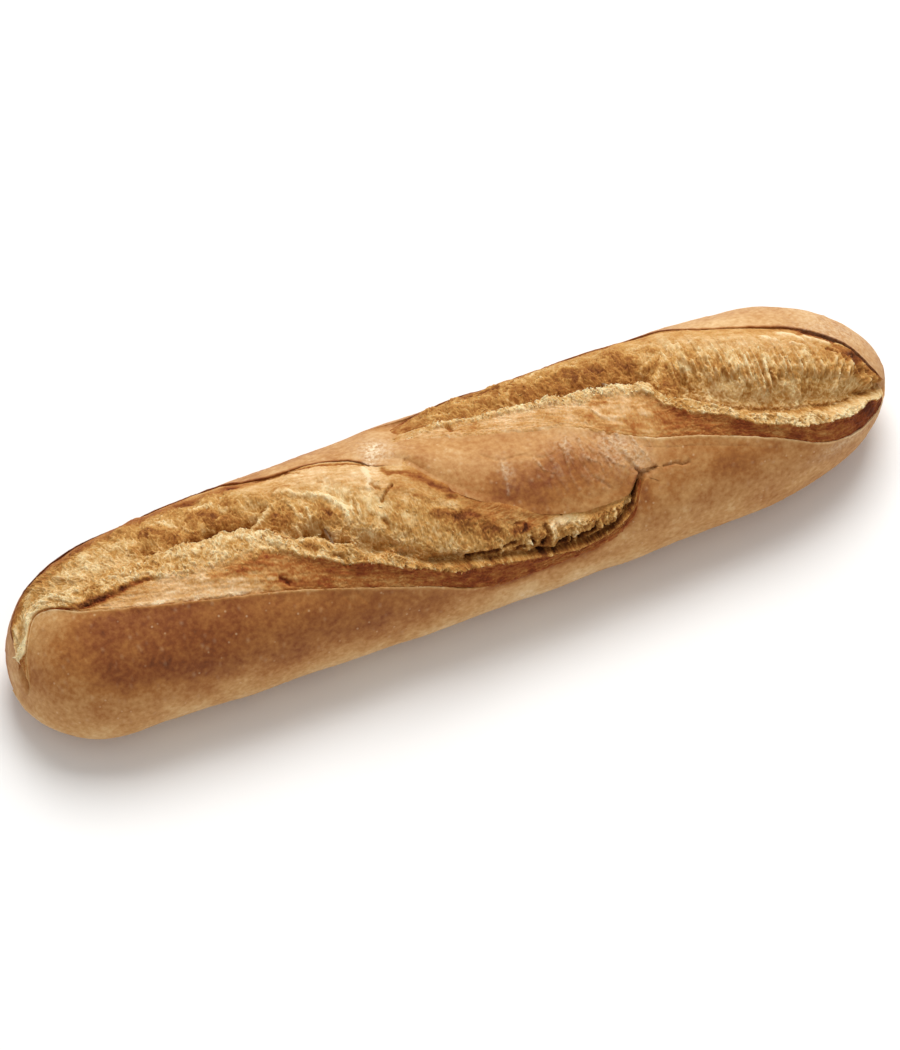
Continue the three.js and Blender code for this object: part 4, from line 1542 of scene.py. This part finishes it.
        across = places.degrees * MM_PER_DEGREE
        drawn, tint = np.zeros_like(x), np.zeros_like(x)
        for stroke in self.slash.strokes:
            weight = stroke.weight(x + 0.35 * small[..., 0], across + 0.35 * small[..., 1])
            drawn = drawn + stroke.rise * weight
            tint = tint + stroke.tint * weight
        strands, below, browned = self.strands(places)
        detail = lumps + fine + grain + teeth
        detail = detail * (1 - 0.8 * below) * (1 - 0.5 * np.clip(-drawn, 0, 1)) + strands + drawn
        # Painted shade: darker between knobs, in sunken strokes and in the dip under the strands
        hollow = rough * (0.4 - 0.6 * fine) - 0.25 * drawn + 0.3 * below

        # What stands out is paler, a painted highlight on knobs, net and threads, with a random tone for each knob;
        # wisps are paler and streaks browner; the bottom of a cleft is browner as painted shade
        highlight_and_tone = 0.16 * (crumbs - 0.4) + 0.16 * net + 0.12 * threads + 0.14 * (shade - 0.5)
        tint = tint - rough * highlight_and_tone + (0.14 * streaks - 0.12 * wisps) * np.maximum(band, skin)
        cleft = np.exp(-(((share - valley) * width / 1.1) ** 2))
        tint = tint + 0.06 * cleft * section.cleft + browned
        return detail, np.clip(hollow, 0, 1), tint

    def strands(self, places: TearPlaces) -> tuple[Array, Array, Array]:
        """Hanging strands on the wall.

        They are crests of noise that end raggedly above a smooth dip, which deepens to a cleft where the valley is
        one. The cleft's browning is painted shade.

        Args:
            places: the strip's places.

        Returns:
            Heights in mm, how far each place lies in the dip and the cleft, and how much browner it is, which in the
            cleft is painted shade.
        """
        share, section = places.share, places.section
        along = places.x / self.strand_spacing
        wall = (share - section.valley) / (1 - section.valley)
        strength = SmoothCurve(self.slash.curtain)(places.x[:, :1])
        comb = layered_noise(np.stack([along + 0.5 * share, 0.6 * share], -1), self.seed + 40, 2)
        comb = smooth_step(crests(comb), 0.0, 1.0)
        ragged = 0.22 + 0.14 * crests(soft_noise(np.stack([along, 0 * along], -1), self.seed + 40))
        ends = smooth_step(wall, ragged - 0.04, ragged + 0.05)
        fade = 1 - smooth_step(wall, 0.5, 0.95)
        raised = strength * ends * fade * (0.2 + 0.9 * comb)
        below = strength * smooth_step(wall, -0.05, 0.1) * (1 - ends)
        drop = (share - section.crest_back) / (section.valley - section.crest_back)
        cleft = smooth_step(drop, -0.3, 0.4) * (1 - ends) * section.cleft
        # Painted shade browns the cleft; the strands come out paler than the gaps between them
        browned = strength * (0.34 * cleft - 0.2 * ends * fade * (comb - 0.2))
        return raised - 0.9 * below, np.maximum(below, strength * cleft), browned


@dataclass(frozen=True)
class Slivers:
    """Curled slivers of crumb that stand off a torn surface, as one mesh of closed spikes. Lengths are in mm."""

    count: int = 420
    length: Pair = (0.5, 1.4)
    width: Pair = (0.2, 0.42)
    lift: float = 0.7  # how steeply they leave the surface
    curl: float = 0.5
    sunk: float = 0.15  # how deep they are rooted
    rings: int = 4
    seed: int = 7

    def build(self, surface: Surface) -> Mesh:
        """Scatters the slivers over the loose places of a surface.

        A sliver follows root + length * (t * direction + t^2 * curl * side), with a flat four-sided
        section that narrows as (1 - t)^0.7 to a point.

        Args:
            surface: the torn surface, with its looseness.

        Returns:
            Vertices, triangles, and the toast of each vertex.
        """
        random = np.random.default_rng(self.seed)
        loose = surface.looseness
        grid = surface.points[:, : loose.shape[1]]
        along, across = np.gradient(grid, axis=(0, 1))
        normal = np.cross(along, across)
        area = np.linalg.norm(normal, axis=-1)
        weights = (loose * area).ravel()
        chosen = random.choice(weights.size, self.count, p=weights / weights.sum())

        def unit(vectors: Array) -> Array:
            """The same directions, one long."""
            return vectors / np.maximum(np.linalg.norm(vectors, axis=-1, keepdims=True), 1e-9)

        root, out = grid.reshape(-1, 3)[chosen], unit(normal.reshape(-1, 3)[chosen])
        out = out * np.sign((out * (root - [0, 0, 15])).sum(-1, keepdims=True) + 1e-9)
        spin = random.uniform(0, 2 * math.pi, (self.count, 1))
        first, second = unit(along.reshape(-1, 3)[chosen]), unit(across.reshape(-1, 3)[chosen])
        flat = unit(first * np.cos(spin) * 0.6 + second * np.sin(spin))
        direction = unit(flat + out * self.lift * random.uniform(0.3, 1.6, (self.count, 1)))
        side = unit(np.cross(direction, out))
        outward = out * random.uniform(-1, 0.6, (self.count, 1))
        bend = self.curl * (outward + side * random.uniform(-1, 1, (self.count, 1)))
        length = random.uniform(*self.length, (self.count, 1)) * random.uniform(0.5, 1, (self.count, 1))
        width = random.uniform(*self.width, (self.count, 1))
        t = (np.arange(self.rings) / self.rings)[None, :, None]
        reach = t * direction[:, None] + t * t * bend[:, None]
        spine = root[:, None] - self.sunk * out[:, None] + length[:, None] * reach
        half = width[:, None] * (1 - t) ** 0.7
        corners = [(1, 0), (0, 0.5), (-1, 0), (0, -0.5)]
        ring = np.stack([spine + half * (u * side[:, None] + v * out[:, None]) for u, v in corners], 2)
        tip = root - self.sunk * out + length * (direction + bend)
        vertices = np.concatenate([ring.reshape(self.count, -1, 3), tip[:, None]], 1)
        last = 4 * self.rings
        faces = [(0, 2, 1), (0, 3, 2)]
        for k, j in itertools.product(range(self.rings), range(4)):
            a, b = 4 * k + j, 4 * k + (j + 1) % 4
            faces += [(a, b, last)] if k == self.rings - 1 else [(a, b, b + 4), (a, b + 4, a + 4)]
        triangles = (np.array(faces)[None] + (np.arange(self.count) * (last + 1))[:, None, None]).reshape(-1, 3)
        flat_vertices = vertices.reshape(-1, 3)
        toast = surface.values["toast"][:, : loose.shape[1]].ravel()[chosen]
        toast = np.clip(toast + random.uniform(-0.2, 0.1, self.count), 0, 1)
        return flat_vertices, turned_outward(triangles, flat_vertices), np.repeat(toast, last + 1)


# --- Finishes ---


def linear(code: str) -> tuple[float, float, float, float]:
    """An sRGB hex colour as linear red, green, blue and alpha."""
    parts = [int(code[k : k + 2], 16) / 255 for k in (1, 3, 5)]
    return (*(p / 12.92 if p <= 0.04045 else ((p + 0.055) / 1.055) ** 2.4 for p in parts), 1.0)


def per_mm(size: float) -> float:
    """A texture's scale, in repeats per metre, for marks of a size in mm."""
    return 1 / (size * MM)


def feed(node: bpy.types.Node, inputs: dict) -> None:
    """Sets a node's inputs.

    Args:
        node: the node.
        inputs: for each input, the value it is set to, the socket that feeds it, or a node that feeds it from
            its first output.
    """
    for key, value in inputs.items():
        if isinstance(value, bpy.types.Node):
            value = value.outputs[0]
        if isinstance(value, bpy.types.NodeSocket):
            node.id_data.links.new(value, node.inputs[key])
        else:
            node.inputs[key].default_value = value


def add_node(
    tree: bpy.types.NodeTree, kind: str, inputs: dict | None = None, stops: Stops = (), **settings: object
) -> bpy.types.Node:
    """Adds a node.

    Args:
        tree: where it goes.
        kind: its type, without the word ShaderNode in front.
        inputs: what feeds it, as in feed().
        stops: a colour ramp's (place, hex colour) pairs.
        settings: the node's own properties.

    Returns:
        The node.
    """
    node = tree.nodes.new("ShaderNode" + kind)
    for key, value in settings.items():
        setattr(node, key, value)
    feed(node, inputs or {})
    if stops:
        elements = node.color_ramp.elements
        while len(elements) < len(stops):
            elements.new(0.5)
        for element, (place, code) in zip(elements, stops):
            element.position, element.color = place, linear(code)
    return node


def new_material(name: str) -> tuple[bpy.types.Material, bpy.types.Node, Callable[..., bpy.types.Node]]:
    """Starts a material.

    Args:
        name: its name.

    Returns:
        The material, its surface shader, and add_node for its own tree.
    """
    material = bpy.data.materials.new(name)
    material.use_nodes = True
    tree = material.node_tree
    return material, tree.nodes["Principled BSDF"], partial(add_node, tree)


@dataclass(frozen=True)
class Mottling:
    """Cloudy unevenness of a browning: the size of its clouds in mm, their detail, and how far they change it."""

    size: float
    detail: float
    amount: float


def mottled(
    add: Callable[..., bpy.types.Node], place: bpy.types.NodeSocket, level: bpy.types.NodeSocket,
    mottlings: tuple[Mottling, ...],
) -> tuple[bpy.types.Node, bpy.types.Node]:
    """Makes a browning uneven: level + amount * (noise - 1/2) for a broad and a fine mottling.

    Args:
        add: adds a node to the material.
        place: where the noise is read.
        level: the browning.
        mottlings: the broad and the fine one.

    Returns:
        The uneven browning, and the fine noise.
    """
    noises = [add("TexNoise", {"Vector": place, "Scale": per_mm(m.size), "Detail": m.detail}) for m in mottlings]
    parts = [
        add("Math", {0: noise, 1: m.amount, 2: -m.amount / 2}, operation="MULTIPLY_ADD")
        for noise, m in zip(noises, mottlings)
    ]
    mottle = add("Math", {0: parts[0], 1: parts[1]}, operation="ADD")
    return add("Math", {0: level, 1: mottle}, operation="ADD"), noises[-1]


@dataclass(frozen=True)
class BrownedCrust:
    """Smooth bread crust, browned dry in the oven: tan to deep brown, mottled, with a dull sheen.

    Dried starch gives an IOR near 1.46. Roughness varies with the mottling. Burst blisters show as pale
    specks under a millimetre wide. Sizes are in mm.
    """

    stops: Stops = (
        (0.0, "#ecd7b6"), (0.2, "#dbb581"), (0.4, "#c39056"), (0.6, "#a66a31"), (0.8, "#834519"), (1.0, "#5a2a0e"),
    )
    speck: str = "#e6c59a"
    # Pale flour, also the colour of the painted highlights on creases and folds
    flour: str = "#ecd6b2"
    mottlings: tuple[Mottling, ...] = (Mottling(9, 5.0, 0.4), Mottling(1.5, 4.0, 0.44))
    speck_spacing: float = 3.2
    dust_size: float = 0.9
    wrinkle_size: float = 1.1
    wrinkle_depth: float = 0.35
    ior: float = 1.46
    sheen: float = 0.3  # below the usual 0.5, because the fine wrinkles swallow part of the reflection

    def material(self) -> bpy.types.Material:
        """Colour from the bake attribute and mottling, then specks, and flour that is partly a painted highlight;
        bump from fine wrinkles.

        Returns:
            The material.
        """
        material, shader, add = new_material("browned_bread_crust")
        place = add("TexCoord").outputs["Object"]
        bake, flour, blister = (
            add("Attribute", attribute_name=name).outputs["Fac"] for name in ("bake", "flour", "blister")
        )
        level, fine = mottled(add, place, bake, self.mottlings)
        colour = add("ValToRGB", {"Fac": level}, self.stops)

        # One cell in a few has a speck at its middle; the blisters of the mesh are pale too
        cells = add("TexVoronoi", {"Vector": place, "Scale": per_mm(self.speck_spacing), "Randomness": 1.0})
        spot = add("MapRange", {"Value": cells, "From Min": 0.05, "From Max": 0.14, "To Min": 0.36, "To Max": 0.0})
        chosen = add("MapRange", {"Value": cells.outputs["Color"], "From Min": 0.38, "From Max": 0.43})
        spots = add("Math", {0: spot, 1: chosen}, operation="MULTIPLY")
        raised = add("Math", {0: blister, 1: 0.22}, operation="MULTIPLY")
        speckle = add("Math", {0: spots, 1: raised}, operation="MAXIMUM")
        speckled = add("Mix", {0: speckle, 6: colour, 7: linear(self.speck)}, data_type="RGBA")

        # Flour, partly a painted highlight on raised creases and folds, broken up by fine noise
        dust = add("TexNoise", {"Vector": place, "Scale": per_mm(self.dust_size), "Detail": 3.0})
        dusty = add("MapRange", {"Value": dust, "From Min": 0.38, "From Max": 0.62, "To Min": 0.15, "To Max": 1.0})
        amount = add("Math", {0: flour, 1: dusty}, operation="MULTIPLY")
        floured = add("Mix", {0: amount, 6: speckled.outputs[2], 7: linear(self.flour)}, data_type="RGBA")

        rough = add("MapRange", {"Value": fine, "To Min": 0.5, "To Max": 0.72})
        wrinkles = add(
            "TexNoise", {"Vector": place, "Scale": per_mm(self.wrinkle_size), "Detail": 4.0, "Roughness": 0.6}
        )
        bump = add("Bump", {"Height": wrinkles, "Strength": 0.6, "Distance": self.wrinkle_depth * MM})
        feed(shader, {"Base Color": floured.outputs[2], "Roughness": rough, "Normal": bump})
        feed(shader, {"IOR": self.ior, "Specular IOR Level": self.sheen})
        return material


@dataclass(frozen=True)
class TornCrumbFinish:
    """Torn crumb toasted by the oven: cream where it opened last, gold to red-brown where it baked longest.

    Dry foam of starch: dull and rough, with fibres and pores from 0.8 mm. Hollows get a painted shade, darker and
    more olive.
    Where it has baked to a skin it is redder and its pores are shallower. Sizes are in mm.
    """

    stops: Stops = (
        (0.0, "#f0dbab"), (0.2, "#e0bd86"), (0.4, "#c99856"), (0.6, "#a87035"), (0.8, "#814b23"), (1.0, "#532c14"),
    )
    skin_stops: Stops = (
        (0.0, "#ecd1a8"), (0.2, "#dab17f"), (0.4, "#c39155"), (0.6, "#a76831"), (0.8, "#88421c"), (1.0, "#5a2710"),
    )
    # The colour of the painted shade in hollows
    shade: str = "#b39c63"
    mottlings: tuple[Mottling, ...] = (Mottling(3.2, 4.0, 0.4), Mottling(0.8, 3.0, 0.2))
    pore_spacing: float = 1.1
    pore_depth: float = 0.25
    ior: float = 1.46
    sheen: float = 0.15  # open pores swallow most of the reflection
    roughness: float = 0.8
    glow: float = 0.25  # share of the light that wanders through the foam before it comes back
    glow_radius: Triple = (0.8, 0.55, 0.4)  # how far red, green and blue wander

    def material(self) -> bpy.types.Material:
        """Colour from the toast attribute and fine noise, darker in hollows as painted shade; bump from fibres and
        pores.

        Returns:
            The material.
        """
        material, shader, add = new_material("toasted_torn_crumb")
        place = add("TexCoord").outputs["Object"]
        toast, hollow = (add("Attribute", attribute_name=name).outputs["Fac"] for name in ("toast", "hollow"))
        level, fine = mottled(add, place, toast, self.mottlings)
        torn, baked = (add("ValToRGB", {"Fac": level}, stops) for stops in (self.stops, self.skin_stops))
        skin = add("Attribute", attribute_name="skin").outputs["Fac"]
        colour = add("Mix", {0: skin, 6: torn, 7: baked}, data_type="RGBA")
        # Painted shade: the colour is multiplied by the shade colour in hollows
        shaded = add(
            "Mix", {0: hollow, 6: colour.outputs[2], 7: linear(self.shade)}, data_type="RGBA", blend_type="MULTIPLY"
        )
        pores = add("TexVoronoi", {"Vector": place, "Scale": per_mm(self.pore_spacing)})
        pore = add("MapRange", {"Value": pores, "From Min": 0.1, "From Max": 0.5})
        height = add("Math", {0: fine, 1: pore}, operation="ADD")
        depth = add("MapRange", {"Value": skin, "To Min": 0.5, "To Max": 0.3})
        bump = add("Bump", {"Height": height, "Strength": depth, "Distance": self.pore_depth * MM})
        feed(shader, {"Base Color": shaded.outputs[2], "Normal": bump, "Roughness": self.roughness})
        feed(shader, {"Subsurface Weight": self.glow, "Subsurface Radius": self.glow_radius, "Subsurface Scale": MM})
        feed(shader, {"IOR": self.ior, "Specular IOR Level": self.sheen})
        return material


# --- Studio ---


@dataclass(frozen=True)
class Lamp:
    """A square soft light that faces the loaf: its place and side in metres, and its power in watts."""

    name: str
    place: Triple
    side: float
    power: float


@dataclass(frozen=True)
class Studio:
    """A plain pale floor, one wide soft light above and behind, a weak fill, and the camera."""

    azimuth: float = -23.0
    elevation: float = 58.0
    frame_height: float = 301.2  # mm of the world that the frame's long side shows
    look_right: float = 0.094  # where the camera's middle line passes the origin, in mm
    look_up: float = 7.27
    lens: float = 500.0
    sensor: float = 36.0
    floor_colour: str = "#f6f5f3"
    floor_side: float = 3.0  # in metres
    floor_roughness: float = 0.9
    world_strength: float = 0.5
    lamps: tuple[Lamp, ...] = (
        Lamp("softbox", (0.45, 0.75, 1.57), 1.1, 29.0), Lamp("fill", (-0.6, -1.1, 1.0), 1.0, 1.5),
    )

    def directions(self) -> tuple[Vector, Vector, Vector]:
        """The camera's directions.

        Returns:
            Right, up and backward.
        """
        azimuth, elevation = self.azimuth * DEGREE, self.elevation * DEGREE
        flat = math.cos(elevation)
        back = Vector((math.sin(azimuth) * flat, -math.cos(azimuth) * flat, math.sin(elevation)))
        right = Vector((math.cos(azimuth), math.sin(azimuth), 0))
        return right, back.cross(right), back

    def camera(self) -> bpy.types.Object:
        """A long lens far away, so that parallel lines stay nearly parallel.

        Returns:
            The camera.
        """
        right, up, back = self.directions()
        data = bpy.data.cameras.new("camera")
        data.lens, data.sensor_width = self.lens, self.sensor
        distance = self.frame_height * self.lens / self.sensor
        camera = add_object("camera", data)
        turn = Matrix((right, up, back)).transposed().to_4x4()
        turn.translation = (right * self.look_right + up * self.look_up + back * distance) * MM
        camera.matrix_world = turn
        bpy.context.scene.camera = camera
        return camera

    def light(self, lamp: Lamp) -> bpy.types.Object:
        """One of the lamps, turned to the origin.

        Args:
            lamp: its measures.

        Returns:
            The light.
        """
        data = bpy.data.lights.new(lamp.name, "AREA")
        data.size, data.energy = lamp.side, lamp.power
        light = add_object(lamp.name, data)
        light.location = lamp.place
        light.rotation_euler = (-Vector(lamp.place)).to_track_quat("-Z", "Y").to_euler()
        return light

    def floor(self) -> bpy.types.Object:
        """A level square of pale matt paint.

        Returns:
            The floor.
        """
        half = self.floor_side / 2
        mesh = bpy.data.meshes.new("floor")
        mesh.from_pydata([(-half, -half, 0), (half, -half, 0), (half, half, 0), (-half, half, 0)], [], [(0, 1, 2, 3)])
        material, shader, _ = new_material("pale_matt_floor")
        feed(shader, {"Base Color": linear(self.floor_colour), "Roughness": self.floor_roughness})
        mesh.materials.append(material)
        floor = add_object("floor", mesh)
        return floor

    def build(self) -> None:
        """Floor, world, lights and camera."""
        self.floor()
        world = bpy.data.worlds.new("studio")
        world.use_nodes = True
        feed(world.node_tree.nodes["Background"], {"Color": (1, 1, 1, 1), "Strength": self.world_strength})
        bpy.context.scene.world = world
        for lamp in self.lamps:
            self.light(lamp)
        self.camera()
        bpy.context.scene.view_settings.view_transform = "Standard"
        log.info("studio: floor, %d lights and the camera", len(self.lamps))


def main() -> None:
    """Builds the crust, the crumb in both slashes, and the studio."""
    logging.basicConfig(level=logging.INFO, format="%(name)s: %(message)s")
    low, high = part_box(NODE)
    loaf = UncutLoaf(length=(high.x - low.x) / MM)
    shell = CrustShell(loaf, FRONT_SLASH, BACK_SLASH)
    quarters = ("crust_shell_left_end", "crust_shell_left", "crust_shell_right", "crust_shell_right_end")
    crusts = {name: shell.surface((k / 4, (k + 1) / 4)) for k, name in enumerate(quarters)}
    tears = {
        "front_crumb_left": TornCrumb(FRONT_SLASH, loaf, part=(0.0, 0.5)).surface(),
        "front_crumb_right": TornCrumb(FRONT_SLASH, loaf, part=(0.5, 1.0)).surface(),
        "back_crumb_left": TornCrumb(BACK_SLASH, loaf, part=(0.0, 0.46), column_count=900, seed=200).surface(),
        "back_crumb_right": TornCrumb(BACK_SLASH, loaf, part=(0.46, 1.0), column_count=900, seed=200).surface(),
    }
    slivers = join([Slivers(seed=k).build(tear) for k, tear in enumerate(tears.values())])
    surfaces = [piece.vertices() for piece in (*crusts.values(), *tears.values())]
    placing = Placing.over([*surfaces, slivers[0]])
    log.info("placing: middle %s, scale %s", placing.middle.round(3), placing.scale.round(4))
    browned = BrownedCrust().material()
    for name, crust in crusts.items():
        dress(crust, name, placing, browned)
    crumb = TornCrumbFinish().material()
    for name, tear in tears.items():
        dress(tear, name, placing, crumb)
    points, faces, toast = slivers
    make_piece("crumb_slivers", placing(points), faces, len(faces), {"toast": toast}, crumb)
    Studio().build()


if __name__ == "__main__":
    main()
